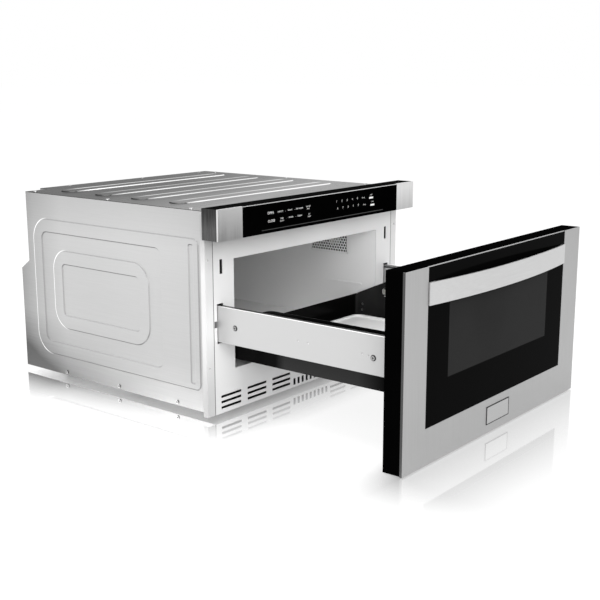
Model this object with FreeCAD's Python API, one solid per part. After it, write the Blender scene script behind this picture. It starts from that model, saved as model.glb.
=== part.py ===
import FreeCAD, Part
import math
import os

V = FreeCAD.Vector

# Built-in microwave oven whose cavity opens as a drawer, drawn with the drawer out.
# Millimetres. X runs to the right, Y from the front to the back, Z up.
# The pieces are drawn from the front frame's face (y = 0); save() then moves them all,
# so that the origin lies under the middle of the body, on the surface it stands on.

# ---------------------------------------------------------------- driving dimensions
# Body
body_width = 554.0
body_height = 370.5
body_depth = 551.0
foot_drop = 8.5            # depth of the pressed beads that the base stands on
sheet = 1.0                # steel of the outer panels and the cavity
panel_flange = 13.0        # folded edges of the side panels
notch_width = 57.0         # recess for the mains lead, rear left
notch_depth = 26.0
notch_height = 161.0       # from the top of the body down to the recess's sloping foot
notch_slope = 18.0

# Pressed work
emboss_height = 1.8
emboss_slope = 2.0
ring_front = 34.0          # side panel, outer ring: margins to the panel's edges
ring_rear = 46.0
ring_bottom = 38.5
ring_top = 50.5
ring_radius = 45.0
ring_front_radius = 12.0
dish_front = 96.0          # second ring, measured in from the outer ring
dish_edge = 26.0
dish_radius = 16.0
inner_edge = 34.0          # third ring, measured in from the second
inner_radius = 42.0
core_edge = 27.0           # fourth ring, measured in from the third
core_radius = 10.0
groove_offset = 12.7       # upright groove beside the front edge of the outer ring
groove_width = 13.0
groove_end = 11.0
top_rib_count = 4
top_rib_width = 42.0
top_rib_front = 120.0      # front edge of the first rib
top_rib_rear = 74.0        # from the last rib's rear edge to the back
top_rib_margin = 42.0      # from a rib's end to the side of the body
bead_count = 3
bead_width = 54.0
bead_margin = 55.0         # from a bead's end to the side of the body
bead_inset = 36.0          # from the first and last bead to the body's ends
bead_slope = 3.0
rim_height = 22.0

# Front frame
frame_sheet = 1.2
flange_width = 20.0        # mounting flange beyond each side of the body
lip_depth = 10.5
flange_hole_radius = 2.2
flange_hole_inset = 7.4    # from the flange's outer edge
flange_hole_low = 90.5     # above the body's underside
flange_hole_drop = 83.8    # below the top of the body
fold_line = 0.8            # fine groove where a flange meets the painted face
fold_sink = 0.4
slide_bay = 54.0           # from the body's side to the cavity's mouth
opening_low = 77.7         # mouth of the cavity above the body's underside
head_room = 89.0           # from the mouth to the top of the body
slot_width = 16.5          # slots that the drawer's side plates run through
slot_clearance = 4.0       # above and below a side plate
relief_height = 11.8       # side notch of a slot, beside the running plate
relief_low = 162.0         # above the body's underside
relief_inset = 1.5         # in from the body's side
latch_inset = 20.8         # from the body's side to the middle of a latch slot
latch_width = 7.6
latch_height = 26.2
latch_drop = 86.0          # from a latch slot to the top of the body
louvre_rows = 3
louvre_columns = 3         # on each side of the middle
louvre_length = 54.2
louvre_height = 4.8
louvre_pitch_x = 71.4
louvre_pitch_z = 10.4
louvre_low = 8.0           # lowest edge above the body's underside
louvre_inset = 42.8        # from the body's side to the middle of the outermost column
grille_count = 9
grille_pitch = 12.9
grille_width = 4.8
grille_height = 12.0
grille_low = 5.4

# Cavity
rear_bay = 105.0           # room behind the cavity for the microwave parts
well_width = 132.0         # raised well of the stirrer in the cavity's roof
well_length = 130.0
well_height = 35.0
well_front = 150.0
vent_front = 74.0          # perforated window in the right wall
vent_length = 103.0
vent_drop = 12.5           # below the cavity's roof
vent_height = 48.0
vent_hole = 4.2            # across the flats
vent_pitch = 6.5
vent_screen_sheet = 0.8
vent_screen_edge = 6.0
ridge_front = 36.0         # pressed ridge on the right wall
ridge_length = 90.0
ridge_low = 157.0          # above the body's underside
ridge_width = 4.0
ridge_height = 1.2

# Drawer travel and front
seal_gap = 0.5             # drawer front to front frame, closed
front_overlap = 6.0        # drawer front beyond each mounting flange
front_height = 323.6
front_thick = 36.5
front_clearance = 1.4      # drawer front above the surface that the body stands on
trim_sheet = 0.8
trim_return = 4.5
stile_width = 64.8
rail_height = 61.9
glass_thick = 4.0
glass_gap = 0.2
shell_wall = 2.2
window_width = 346.0
window_low = 133.5         # from the lower edge of the drawer front
window_height = 144.0
screen_sheet = 0.6
screen_edge = 6.0
back_sheet = 1.2
choke_inset = 56.0         # choke ring, in from the drawer front's edges
choke_low = 64.0
choke_width = 20.0
choke_depth = 14.0
choke_wall = 1.2
choke_pitch = 32.0         # slots through the ring's inner wall
choke_slot = 6.0

# Handle: a bowed strip over the glass
handle_height = 36.5
handle_low = 262.3         # from the lower edge of the drawer front
handle_bow = 17.0
handle_strip = 2.5
handle_block = 16.0
handle_end_gap = 1.0

# Drawer tub
tub_gap = 3.5              # to each side of the cavity's mouth
tub_wall = 1.5
tub_under = 102.5 - 86.2   # tub's underside above the cavity floor
tub_rear_gap = 13.0        # closed, from the tub to the cavity's rear wall
tub_kept = 49.5            # length of the tub that stays in the cavity when open
tub_high = 98.1            # height of the side walls at the front
tub_low = 44.0             # height of the rear wall
tub_ramp = 121.5           # length over which the side walls rise
tub_crest = 95.0           # radius where a side wall's rise meets its level top
tub_corner = 8.0
tub_notch = 4.0            # relief where the rear wall meets a side wall
tub_hole_radius = 11.5     # round hole in each side wall, beside the drawer front
tub_hole_y = -32.0
tub_hole_low = 151.0       # above the body's underside
tray_side = 34.5           # glass tray, in from the tub's walls
tray_rear = 27.0
tray_front = 30.0
tray_thick = 5.0
tray_rim = 2.5
tray_rim_width = 6.0
tray_radius = 18.0

# Side plates and ball-bearing slides
plate_inset = 10.0         # outer face of a side plate, in from the body's side
plate_sheet = 1.2
plate_flange = 13.0
plate_low = 135.8          # above the body's underside
plate_height = 65.2
slide_height = 45.0
slide_thick = 12.7
slide_sheet = 1.2
slide_gap = 0.4            # running gap between the members
slide_front = 3.0
slide_rear_gap = 12.0      # from the fixed member's end to the cavity's rear wall
slide_drop = 2.6           # top of the slide below the plate's upper flange
bracket_sheet = 1.2
bracket_margin = 1.0

dimple_radius = 1.6        # small holes in the side plates
dimple_places = ((-0.484, 32.0), (-0.539, 31.2), (-0.828, 32.1), (-0.861, 30.9))

# Rack-and-pinion drive
gear_module = 1.5
pressure_angle = 20.0      # degrees
pinion_teeth = 16
pinion_height = 7.0
pinion_y = 34.0
rack_depth = 9.8           # from the pitch line to the rack's back
rack_height = 8.5
rack_spare = 10.0          # rack beyond the last tooth in mesh
addendum = 0.9             # in modules
dedendum = 1.17
tooth_share = 0.445        # tooth thickness over the pitch
flank_steps = 4            # straight steps along an involute flank
shaft_radius = 3.0
running_gap = 0.05
gearbox_height = 30.0
gearbox_length = 62.0
gearbox_width = 36.0
gearbox_drop = 8.0         # below the side plates
gearbox_offset = 4.0       # sideways from the pinion's axis
motor_radius = 17.0
motor_height = 42.0
shelf_edge = 8.0           # bracket beyond the gearbox
bracket_leg = 18.0
bracket_tab = 30.0

# Latch tongues on the drawer front
latch_reach = 13.0
latch_play = 4.0           # above and below a tongue in its slot
latch_side_play = 1.3

# Control panel
panel_height = 55.4
panel_depth = 38.7
panel_gap = 7.9            # above the drawer front
panel_face = 3.5           # glass and end caps
panel_cap = 62.5
panel_wall = 1.5
board_thick = 1.6
board_margin = 12.0
board_edge = 5.0
boss_radius = 4.0
boss_length = 6.0

# Microwave parts
guide_width = 36.0
guide_broad = 74.0
guide_wall = 1.0
guide_low = 120.0          # foot of the wave guide above the body's underside
antenna_radius = 8.0
magnetron_rise = 50.0      # its axis above the wave guide's foot
magnetron_plate = 72.0     # mounting plate, front to back
magnetron_height = 88.0
magnetron_reach = 102.0    # from the wave guide to the end of its terminal
magnetron_fins = 5
fin_thick = 1.2
plate_thick = 2.0
fan_reach = 142.0          # from the wave guide to the middle of the fan's shroud
fan_radius = 38.0
fan_blades = 5
fan_rake = 38.0            # degrees
fan_chord = 14.0
fan_blade_thick = 1.6
fan_hub = 13.0
fan_shroud_size = 96.0
fan_shroud_depth = 30.0
fan_opening = 3.0          # shroud to blade tips
fan_arm = 8.0
fan_arm_thick = 3.0
fan_motor_size = 48.0
fan_motor_depth = 22.0
stirrer_radius = 54.0
stirrer_blades = 4
stirrer_drop = 18.0        # from the well's roof to the paddles
stirrer_rake = 22.0        # degrees
paddle_width = 22.0
paddle_thick = 1.2
stirrer_motor_radius = 24.0
stirrer_motor_height = 15.0
cover_edge = 6.0           # stirrer's cover plate beyond the well
spindle_radius = 2.5
spindle_clearance = 1.5
transformer_inset = 127.0  # from the body's right side to its middle
transformer_width = 94.0
transformer_height = 78.0
transformer_core = 48.0    # front to back
coil_reach = 16.0
capacitor_x = -70.0
capacitor_length = 92.0
capacitor_width = 52.0
capacitor_height = 34.0
capacitor_strap = 16.0
filter_x = 162.5           # middle of the mains filter board
filter_low = 240.0         # above the body's underside
filter_width = 85.0
filter_height = 75.0
filter_post = 8.0
duct_depth = 26.0
lamp_radius = 9.0
lamp_holder = 16.0
cutout_x = 110.0           # thermal cut-outs, from the middle
cutout_rear = 104.0        # in front of the cavity's rear wall
cutout_radius = 8.0
cutout_height = 7.0
switch_reach = 48.0        # door switch bracket, back from the front frame
switch_margin = 6.0        # bracket above and below the latch slot
switch_width = 11.0
switch_length = 28.0
switch_height = 16.0

# Mains lead's bush in the recess
gland_drop = 78.0          # below the top of the body
gland_radius = 9.0
gland_bore = 4.2
gland_flange = 3.5
gland_length = 8.0

# Rear vents
vent_rows = 2
vent_columns = 10
rear_vent_x = 95.0         # middle of each field
rear_vent_low = 40.0       # above the body's underside
rear_vent_pitch = 12.0
rear_vent_width = 4.0
rear_vent_height = 30.0

# Fasteners
screw_radius = 3.6
screw_height = 1.6
rivet_radius = 2.4
rivet_height = 1.2
screw_rise = 6.2           # side screws above the body's underside
screw_inset = 10.0         # top screws in from the sides and the back
side_screws = (0.178, 0.471, 0.760)   # places as shares of the body's depth
top_screws = (0.109, 0.514, 0.918)
rear_screws = (-0.54, 0.22, 0.885)    # as shares of the body's half width
plate_screws = ((-0.109, 31.2), (-0.884, 28.2))   # share of the travel, height on the plate
tub_rivets = (11.0, 24.0)  # above the tub's underside
tub_rivet_y = 30.0

# ---------------------------------------------------------------- places worked out
half = body_width / 2
opening_width = body_width - 2 * slide_bay
opening_height = body_height - opening_low - head_room
cavity_depth = body_depth - sheet - rear_bay
tub_reach = cavity_depth - tub_rear_gap        # from the drawer front's back to the tub's rear
open_travel = tub_reach - tub_kept
slide_length = cavity_depth - slide_front - slide_rear_gap
plate_outer = half - plate_inset               # outer face of a side plate
slot_centre = plate_outer - plate_flange / 2
latch_centre = half - latch_inset
transformer_x = half - transformer_inset
louvre_centre = half - louvre_inset
front_width = 2 * (half + flange_width + front_overlap)
top_rib_pitch = (body_depth - top_rib_front - top_rib_width - top_rib_rear) / (top_rib_count - 1)
base_z = foot_drop
top_z = base_z + body_height
flange_half = half + flange_width
opening_half = opening_width / 2
opening_z = base_z + opening_low
roof_z = opening_z + opening_height
vent_z = roof_z - vent_drop - vent_height
latch_z = top_z - latch_drop - latch_height
wall_x = opening_half + sheet                  # outer face of a cavity side wall
notch_x = -half + notch_width
notch_y = body_depth - notch_depth
notch_z = top_z - notch_height + notch_slope   # upper end of the sloping foot
door_back = -(open_travel + seal_gap)
door_front = door_back - front_thick
door_z = front_clearance
door_top = door_z + front_height
door_half = front_width / 2
panel_z = door_top + panel_gap
glass_half = door_half - stile_width
plate_z = base_z + plate_low
plate_top = plate_z + plate_height
plate_inner = plate_outer - plate_sheet        # inner face of a side plate
slide_z1 = plate_top - plate_sheet - slide_drop
slide_z0 = slide_z1 - slide_height
slide_x = plate_inner - slide_thick            # back of the fixed member
tub_half = opening_half - tub_gap
tub_z = opening_z + tub_under
tub_rear = door_back + tub_reach
pitch_radius = gear_module * pinion_teeth / 2
pitch_x = plate_inner - rack_depth
pinion_x = pitch_x - pitch_radius
tooth_pitch = math.pi * gear_module
rack_z = plate_z + plate_sheet
well_y = well_front + well_length / 2
base_floor = base_z + sheet
rear_inner = body_depth - sheet
cavity_rear = cavity_depth + sheet
gearbox_top = plate_z - gearbox_drop
gearbox_x = pinion_x + gearbox_offset
magnetron_y = cavity_rear + guide_broad / 2
magnetron_z = base_z + guide_low + magnetron_rise
fan_x = -guide_width / 2 - fan_reach           # middle of the shroud
fan_y = rear_inner - fan_shroud_size / 2
fan_z = magnetron_z
lamp_y = vent_front + vent_length / 2
lamp_z = vent_z + vent_height / 2
gland_x = -half + notch_width / 2
gland_z = top_z - gland_drop


# ---------------------------------------------------------------- shape helpers
def block(x0, x1, y0, y1, z0, z1):
    """Box between two corners, each pair in either order."""
    (xa, xb), (ya, yb), (za, zb) = sorted((x0, x1)), sorted((y0, y1)), sorted((z0, z1))
    return Part.makeBox(xb - xa, yb - ya, zb - za, V(xa, ya, za))


def rod(radius, start, end):
    """Round bar between two points."""
    a, b = V(*start), V(*end)
    return Part.makeCylinder(radius, (b - a).Length, a, b - a)


def prism(points, push):
    """Solid with a flat outline, pushed along a vector."""
    loop = Part.makePolygon([V(*p) for p in points + points[:1]])
    return Part.Face(loop).extrude(V(*push))


def join(shapes):
    """One solid from pieces that touch or overlap."""
    return shapes[0].fuse(shapes[1:]).removeSplitter()


def mirror_x(shape):
    """The same piece on the other side of the middle plane."""
    return shape.mirror(V(0, 0, 0), V(1, 0, 0))


def on_side(side, shape):
    """A piece drawn on the right, kept there (+1) or mirrored to the left (-1)."""
    return shape if side > 0 else mirror_x(shape)


def rounded_loop(u0, u1, v0, v1, radii, place):
    """Closed outline with four round corners; place(u, v) sets a point in space."""
    ra, rb, rc, rd = radii
    k = 1 - math.sqrt(0.5)
    corners = [
        ((u1 - ra, v0), (u1 - k * ra, v0 + k * ra), (u1, v0 + ra)),
        ((u1, v1 - rb), (u1 - k * rb, v1 - k * rb), (u1 - rb, v1)),
        ((u0 + rc, v1), (u0 + k * rc, v1 - k * rc), (u0, v1 - rc)),
        ((u0, v0 + rd), (u0 + k * rd, v0 + k * rd), (u0 + rd, v0)),
    ]
    edges = []
    for i, (start, middle, end) in enumerate(corners):
        following = corners[(i + 1) % 4][0]
        edges.append(Part.Arc(place(*start), place(*middle), place(*end)).toShape())
        if place(*end).distanceToPoint(place(*following)) > 1e-6:
            edges.append(Part.LineSegment(place(*end), place(*following)).toShape())
    return Part.Wire(edges)


def rounded_block(u0, u1, v0, v1, radius, place, push):
    """Rounded rectangle pushed along a vector."""
    loop = rounded_loop(u0, u1, v0, v1, (radius,) * 4, place)
    return Part.Face(loop).extrude(V(*push))


def swelling(u0, u1, v0, v1, radii, foot, crown, s=emboss_slope):
    """Flat-topped pressing: full size at the foot plane, drawn in at the crown."""
    low = rounded_loop(u0, u1, v0, v1, radii, foot)
    small = tuple(max(r - s, 0.5) for r in radii)
    high = rounded_loop(u0 + s, u1 - s, v0 + s, v1 - s, small, crown)
    return Part.makeLoft([low, high], True, True)


def pressed_sheet(backing, pressings, inward):
    """Sheet of even thickness that follows the outside of a backing and its pressings."""
    form = join([backing] + pressings)
    return form.cut(form.translated(V(*inward)))


# ---------------------------------------------------------------- outer casing
def side_outline(side):
    """Outline of a side panel in Y and Z; the left one steps in at the rear."""
    low, high, front = base_z, top_z - sheet, frame_sheet
    if side > 0:
        return [(front, low), (body_depth, low), (body_depth, high), (front, high)]
    return [(front, low), (body_depth, low), (body_depth, notch_z - notch_slope),
            (notch_y, notch_z), (notch_y, high), (front, high)]


def side_rings():
    """The four nested outlines pressed into a side panel, as y0, y1, z0, z1, radii."""
    outer = (ring_front, body_depth - ring_rear, base_z + ring_bottom, top_z - ring_top)
    second = (outer[0] + dish_front, outer[1] - dish_edge,
              outer[2] + dish_edge, outer[3] - dish_edge)
    third = tuple(edge + way * inner_edge for edge, way in zip(second, (1, -1, 1, -1)))
    fourth = tuple(edge + way * core_edge for edge, way in zip(third, (1, -1, 1, -1)))
    outer_radii = (ring_radius, ring_radius, ring_front_radius, ring_front_radius)
    return [outer + (outer_radii,), second + ((dish_radius,) * 4,),
            third + ((inner_radius,) * 4,), fourth + ((core_radius,) * 4,)]


def side_panel(side):
    """Outer side panel with two raised bands, a groove and a folded upper edge."""
    skin = side * half
    depth = 6 * sheet
    backing = prism([(skin - side * depth, y, z) for y, z in side_outline(side)],
                    (side * depth, 0, 0))
    outer, second, third, fourth = side_rings()
    face = lambda y, z: V(skin, y, z)
    crown = lambda y, z: V(skin + side * emboss_height, y, z)
    groove_y = outer[0] + groove_offset
    half_round = groove_width * 0.3
    groove = (groove_y, groove_y + groove_width, outer[2] + groove_end,
              outer[3] - groove_end, (half_round,) * 4)
    wide = swelling(*outer, face, crown).cut(swelling(*second, crown, face))
    wide = wide.cut(swelling(*groove, crown, face))
    narrow = swelling(*third, face, crown).cut(swelling(*fourth, crown, face))
    skin_sheet = pressed_sheet(backing, [wide, narrow], (-side * sheet, 0, 0))
    fold_end = notch_y - sheet if side < 0 else rear_inner
    fold = block(skin, skin - side * panel_flange, frame_sheet, fold_end,
                 top_z - 2 * sheet, top_z - sheet)
    return join([skin_sheet, fold])


def notch_cutter(grow):
    """Volume of the recess for the mains lead, grown by a sheet's thickness."""
    z0 = notch_z - grow
    points = [(-half - 1, notch_y - grow, top_z + 1), (-half - 1, notch_y - grow, z0),
              (-half - 1, body_depth + 1, z0 - notch_slope * (notch_depth + 1 + grow) / notch_depth),
              (-half - 1, body_depth + 1, top_z + 1)]
    return prism(points, (notch_width + 1 + grow, 0, 0))


def top_cover():
    """Ribbed top sheet, cut back over the recess."""
    backing = block(-half, half, 0, body_depth, top_z - 6 * sheet, top_z)
    face = lambda x, y: V(x, y, top_z)
    crown = lambda x, y: V(x, y, top_z + emboss_height)
    ribs = []
    radius = top_rib_width / 2 - 0.2
    for i in range(top_rib_count):
        y0 = top_rib_front + i * top_rib_pitch
        ribs.append(swelling(-half + top_rib_margin, half - top_rib_margin,
                             y0, y0 + top_rib_width, (radius,) * 4, face, crown))
    cover = pressed_sheet(backing, ribs, (0, 0, -sheet))
    return cover.cut(notch_cutter(0))


def rear_panel():
    """Rear sheet with the folded recess, a cable hole and two fields of vents."""
    inner = half - sheet
    low, high = base_z + sheet, top_z - 2 * sheet
    solid = block(-inner, inner, notch_y - sheet, body_depth, low, top_z - sheet)
    keep = solid.cut(notch_cutter(0))
    hollow = block(-inner, inner, 0, rear_inner, 0, top_z).cut(notch_cutter(sheet))
    panel = keep.cut(hollow)
    fold = block(-half + notch_width + sheet, inner - panel_flange, rear_inner - panel_flange,
                 rear_inner, high, top_z - sheet)
    cutters = [rod(gland_radius + 0.2, (gland_x, notch_y - 2 * sheet, gland_z),
                   (gland_x, notch_y + sheet, gland_z))]
    for row in range(vent_rows):
        for column in range(vent_columns):
            for field in (-1, 1):
                x = field * rear_vent_x + (column - (vent_columns - 1) / 2) * rear_vent_pitch
                z = base_z + rear_vent_low + row * (rear_vent_height + rear_vent_pitch)
                cutters.append(block(x - rear_vent_width / 2, x + rear_vent_width / 2,
                                     rear_inner - 1, body_depth + 1, z, z + rear_vent_height))
    return join([panel, fold]).cut(cutters)


def base_pan():
    """Floor of the body with three pressed beads that it stands on, and upright rims."""
    inner = half - sheet
    backing = block(-inner, inner, frame_sheet, rear_inner, base_z, base_z + 6 * sheet)
    face = lambda x, y: V(x, y, base_z)
    crown = lambda x, y: V(x, y, 0)
    first = bead_inset
    step = (body_depth - 2 * bead_inset - bead_width) / (bead_count - 1)
    beads = []
    for i in range(bead_count):
        y0 = first + i * step
        radius = bead_width / 2 - 0.2
        beads.append(swelling(-half + bead_margin, half - bead_margin, y0, y0 + bead_width,
                              (radius,) * 4, face, crown, bead_slope))
    floor = pressed_sheet(backing, beads, (0, 0, sheet))
    rims = [block(side * inner, side * (inner - sheet), frame_sheet, rear_inner,
                  base_z, base_z + rim_height) for side in (-1, 1)]
    rims.append(block(-inner, inner, rear_inner - sheet, rear_inner, base_z, base_z + rim_height))
    return join([floor] + rims)


# ---------------------------------------------------------------- front frame
def louvre_cutters():
    """Three rows of long louvres on each side and a comb of upright ones between."""
    cutters = []
    for side in (-1, 1):
        for column in range(louvre_columns):
            x = side * (louvre_centre - column * louvre_pitch_x)
            for row in range(louvre_rows):
                z = base_z + louvre_low + row * louvre_pitch_z
                cutters.append(block(x - louvre_length / 2, x + louvre_length / 2,
                                     -1, frame_sheet + 1, z, z + louvre_height))
    for i in range(grille_count):
        x = (i - (grille_count - 1) / 2) * grille_pitch
        z = base_z + grille_low
        cutters.append(block(x - grille_width / 2, x + grille_width / 2,
                             -1, frame_sheet + 1, z, z + grille_height))
    return cutters


def front_frame():
    """Painted front of the body with its mounting flanges."""
    plate = block(-half, half, 0, frame_sheet, base_z, top_z - sheet)
    flanges = [block(side * half, side * flange_half, 0, frame_sheet, base_z, top_z - sheet)
               for side in (-1, 1)]
    lips = [block(side * flange_half, side * (flange_half - frame_sheet), 0, lip_depth,
                  base_z, top_z - sheet) for side in (-1, 1)]
    cutters = [block(-opening_half, opening_half, -1, frame_sheet + 1, opening_z, roof_z)]
    hole_x = flange_half - flange_hole_inset
    for side in (-1, 1):
        x = side * slot_centre
        cutters.append(block(x - slot_width / 2, x + slot_width / 2, -1, frame_sheet + 1,
                             plate_z - slot_clearance, plate_top + slot_clearance))
        x = side * latch_centre
        cutters.append(block(x - latch_width / 2, x + latch_width / 2, -1, frame_sheet + 1,
                             latch_z, latch_z + latch_height))
        cutters.append(block(side * slot_centre, side * (half - relief_inset), -1, frame_sheet + 1,
                             base_z + relief_low, base_z + relief_low + relief_height))
        cutters.append(block(side * (half - fold_line / 2), side * (half + fold_line / 2),
                             -1, fold_sink, base_z - 1, top_z))
        for z in (base_z + flange_hole_low, top_z - flange_hole_drop):
            cutters.append(rod(flange_hole_radius, (side * hole_x, -1, z),
                               (side * hole_x, frame_sheet + 1, z)))
    # Fused as they are, so that each flange keeps a face of its own to seat on the cabinet.
    return plate.fuse(flanges + lips).cut(cutters + louvre_cutters())


# ---------------------------------------------------------------- cavity
def cavity_side(side):
    """Side wall of the cavity; the right one has the vent's window and a pressed ridge."""
    wall = block(opening_half, wall_x, frame_sheet, cavity_rear, opening_z - sheet, roof_z + sheet)
    if side < 0:
        return mirror_x(wall)
    window = block(opening_half - 1, wall_x + 1, vent_front, vent_front + vent_length,
                   vent_z, vent_z + vent_height)
    radius = ridge_width / 2 - 0.05
    low = base_z + ridge_low
    ridge = rounded_block(ridge_front, ridge_front + ridge_length, low, low + ridge_width, radius,
                          lambda y, z: V(opening_half, y, z), (-ridge_height, 0, 0))
    return join([wall.cut(window), ridge])


def cavity_floor():
    """Floor of the cavity between its side walls."""
    return block(-opening_half, opening_half, frame_sheet, cavity_rear, opening_z - sheet, opening_z)


def cavity_rear_wall():
    """Rear wall of the cavity between floor and roof."""
    return block(-opening_half, opening_half, cavity_depth, cavity_rear, opening_z, roof_z)


def cavity_roof():
    """Roof of the cavity with the raised well of the stirrer."""
    roof = block(-opening_half, opening_half, frame_sheet, cavity_rear, roof_z, roof_z + sheet)
    half_well = well_width / 2
    well_top = roof_z + sheet + well_height
    outer = block(-half_well, half_well, well_front, well_front + well_length, roof_z, well_top)
    inner = block(-half_well + sheet, half_well - sheet, well_front + sheet,
                  well_front + well_length - sheet, roof_z - 1, well_top - sheet)
    guide_hole = block(-guide_width / 2 + guide_wall, guide_width / 2 - guide_wall,
                       well_front + well_length - 2 * sheet, well_front + well_length + 1,
                       roof_z + sheet + guide_wall, well_top - sheet)
    spindle_hole = rod(spindle_radius + 1.5, (0, well_y, well_top - 3), (0, well_y, well_top + 1))
    return join([roof, outer]).cut([inner, guide_hole, spindle_hole])


def vent_screen():
    """Perforated screen over the right wall's window, in staggered rows of six-sided holes."""
    y0, y1 = vent_front - vent_screen_edge, vent_front + vent_length + vent_screen_edge
    z0, z1 = vent_z - vent_screen_edge, vent_z + vent_height + vent_screen_edge
    plate = block(wall_x, wall_x + vent_screen_sheet, y0, y1, z0, z1)
    row_pitch = vent_pitch * math.sin(math.radians(60))
    rows = int((vent_height - vent_hole) / row_pitch) + 1
    radius = vent_hole / math.sqrt(3)
    holes = []
    for row in range(rows):
        z = vent_z + vent_height / 2 + (row - (rows - 1) / 2) * row_pitch
        count = int((vent_length - vent_hole) / vent_pitch) + row % 2
        for i in range(count):
            y = vent_front + vent_length / 2 + (i - (count - 1) / 2) * vent_pitch
            corners = [(wall_x - 1, y + radius * math.sin(math.radians(60 * k)),
                        z + radius * math.cos(math.radians(60 * k))) for k in range(6)]
            holes.append(prism(corners, (vent_screen_sheet + 2, 0, 0)))
    return plate.cut(holes)


# ---------------------------------------------------------------- slides
def channel(x_web, x_lips, y0, y1, z0, z1, thick):
    """C section along Y: web at x_web, its two legs reaching to x_lips."""
    way = 1 if x_lips > x_web else -1
    outer = block(x_web, x_lips, y0, y1, z0, z1)
    inner = block(x_web + way * thick, x_lips + way, y0 - 1, y1 + 1, z0 + thick, z1 - thick)
    return outer.cut(inner)


def slide_bracket(side):
    """Channel on the cavity's side wall that carries the fixed slide member."""
    return on_side(side, channel(slide_x, wall_x, frame_sheet, cavity_rear,
                                 slide_z0 + bracket_margin, slide_z1 - bracket_margin,
                                 bracket_sheet))


def slide_outer(side):
    """Fixed member of a ball-bearing slide."""
    reach = plate_inner - slide_sheet - slide_gap
    return on_side(side, channel(slide_x, reach, slide_front, slide_front + slide_length,
                                 slide_z0, slide_z1, slide_sheet))


def slide_middle(side):
    """Middle member, out by half of the travel."""
    inset = slide_sheet + slide_gap
    y0 = slide_front - open_travel / 2
    return on_side(side, channel(slide_x + inset, plate_inner - inset, y0, y0 + slide_length,
                                 slide_z0 + inset, slide_z1 - inset, slide_sheet))


def slide_inner(side):
    """Inner member on the side plate, out by the whole travel."""
    inset = 2 * (slide_sheet + slide_gap)
    y0 = slide_front - open_travel
    return on_side(side, channel(plate_inner, slide_x + inset, y0, y0 + slide_length,
                                 slide_z0 + inset, slide_z1 - inset, slide_sheet))


def side_plate(side):
    """Folded steel side plate that joins the drawer front to the inner slide member."""
    plate = channel(plate_outer, plate_outer - plate_flange, door_back, door_back + tub_reach,
                    plate_z, plate_top, plate_sheet)
    holes = [rod(dimple_radius, (plate_inner - 1, share * open_travel, plate_z + rise),
                 (plate_outer + 1, share * open_travel, plate_z + rise))
             for share, rise in dimple_places]
    return on_side(side, plate.cut(holes))


# ---------------------------------------------------------------- drive
def tooth_profile():
    """Half thickness of a tooth at its root, pitch line and tip."""
    pitch_half = tooth_share * tooth_pitch / 2
    lean = math.tan(math.radians(pressure_angle)) * gear_module
    return pitch_half + lean * dedendum, pitch_half - lean * addendum


def drive_rack():
    """Toothed rack on the right side plate; its spaces line up with the pinion's axis."""
    root_half, tip_half = tooth_profile()
    root_x, tip_x = pitch_x + dedendum * gear_module, pitch_x - addendum * gear_module
    reach = int(open_travel / tooth_pitch) + 1
    spare = int(rack_spare / tooth_pitch) + 1
    points = [(plate_inner, pinion_y + (spare + 0.5) * tooth_pitch, rack_z)]
    for i in range(spare, -reach - spare - 1, -1):
        y = pinion_y + (i - 0.5) * tooth_pitch
        points += [(root_x, y + root_half, rack_z), (tip_x, y + tip_half, rack_z),
                   (tip_x, y - tip_half, rack_z), (root_x, y - root_half, rack_z)]
    last = points[-1][1] - root_half
    points = [(plate_inner, points[1][1] + root_half, rack_z)] + points[1:]
    points.append((plate_inner, last, rack_z))
    return prism(points, (0, 0, rack_height))


def involute_half(radius):
    """Half thickness of a pinion tooth at a radius, as an angle from the tooth's middle."""
    lean = math.radians(pressure_angle)
    base = pitch_radius * math.cos(lean)
    at = math.acos(min(1.0, base / radius))
    return (tooth_share * tooth_pitch / (2 * pitch_radius)
            + (math.tan(lean) - lean) - (math.tan(at) - at))


def drive_pinion():
    """Pinion with involute teeth, in one piece with its shaft; a tooth points at the rack."""
    base_r = pitch_radius * math.cos(math.radians(pressure_angle))
    root_r = pitch_radius - dedendum * gear_module
    tip_r = pitch_radius + addendum * gear_module
    steps = [base_r + (tip_r - base_r) * k / flank_steps for k in range(flank_steps + 1)]
    flank = [(root_r, involute_half(base_r))] + [(r, involute_half(r)) for r in steps]
    z0 = rack_z + (rack_height - pinion_height) / 2
    points = []
    for i in range(pinion_teeth):
        middle = 2 * math.pi * i / pinion_teeth
        rising = [(r, middle - turn) for r, turn in flank]
        falling = [(r, middle + turn) for r, turn in reversed(flank)]
        points += [(pinion_x + r * math.cos(turn), pinion_y + r * math.sin(turn), z0)
                   for r, turn in rising + falling]
    wheel = prism(points, (0, 0, pinion_height))
    shaft = rod(shaft_radius, (pinion_x, pinion_y, gearbox_top - gearbox_height / 2),
                (pinion_x, pinion_y, z0 + pinion_height))
    collar = rod(shaft_radius * 2, (pinion_x, pinion_y, gearbox_top + bracket_sheet + slide_gap),
                 (pinion_x, pinion_y, z0))
    return join([wheel, shaft, collar])


def drive_bracket():
    """Angle behind the front frame that the gear motor hangs from."""
    x0, x1 = gearbox_x - gearbox_width / 2, gearbox_x + gearbox_width / 2
    shelf = block(x0, x1, frame_sheet, frame_sheet + gearbox_length + shelf_edge, gearbox_top,
                  gearbox_top + bracket_sheet)
    leg = block(x0, x1, frame_sheet, frame_sheet + bracket_sheet, gearbox_top - bracket_leg,
                gearbox_top)
    tab = block(wall_x, x0, frame_sheet + bracket_tab, frame_sheet + 2 * bracket_tab,
                gearbox_top, gearbox_top + bracket_sheet)
    hole = rod(shaft_radius + spindle_clearance, (pinion_x, pinion_y, gearbox_top - 1),
               (pinion_x, pinion_y, gearbox_top + bracket_sheet + 1))
    return join([shelf, leg, tab]).cut(hole)


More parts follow.
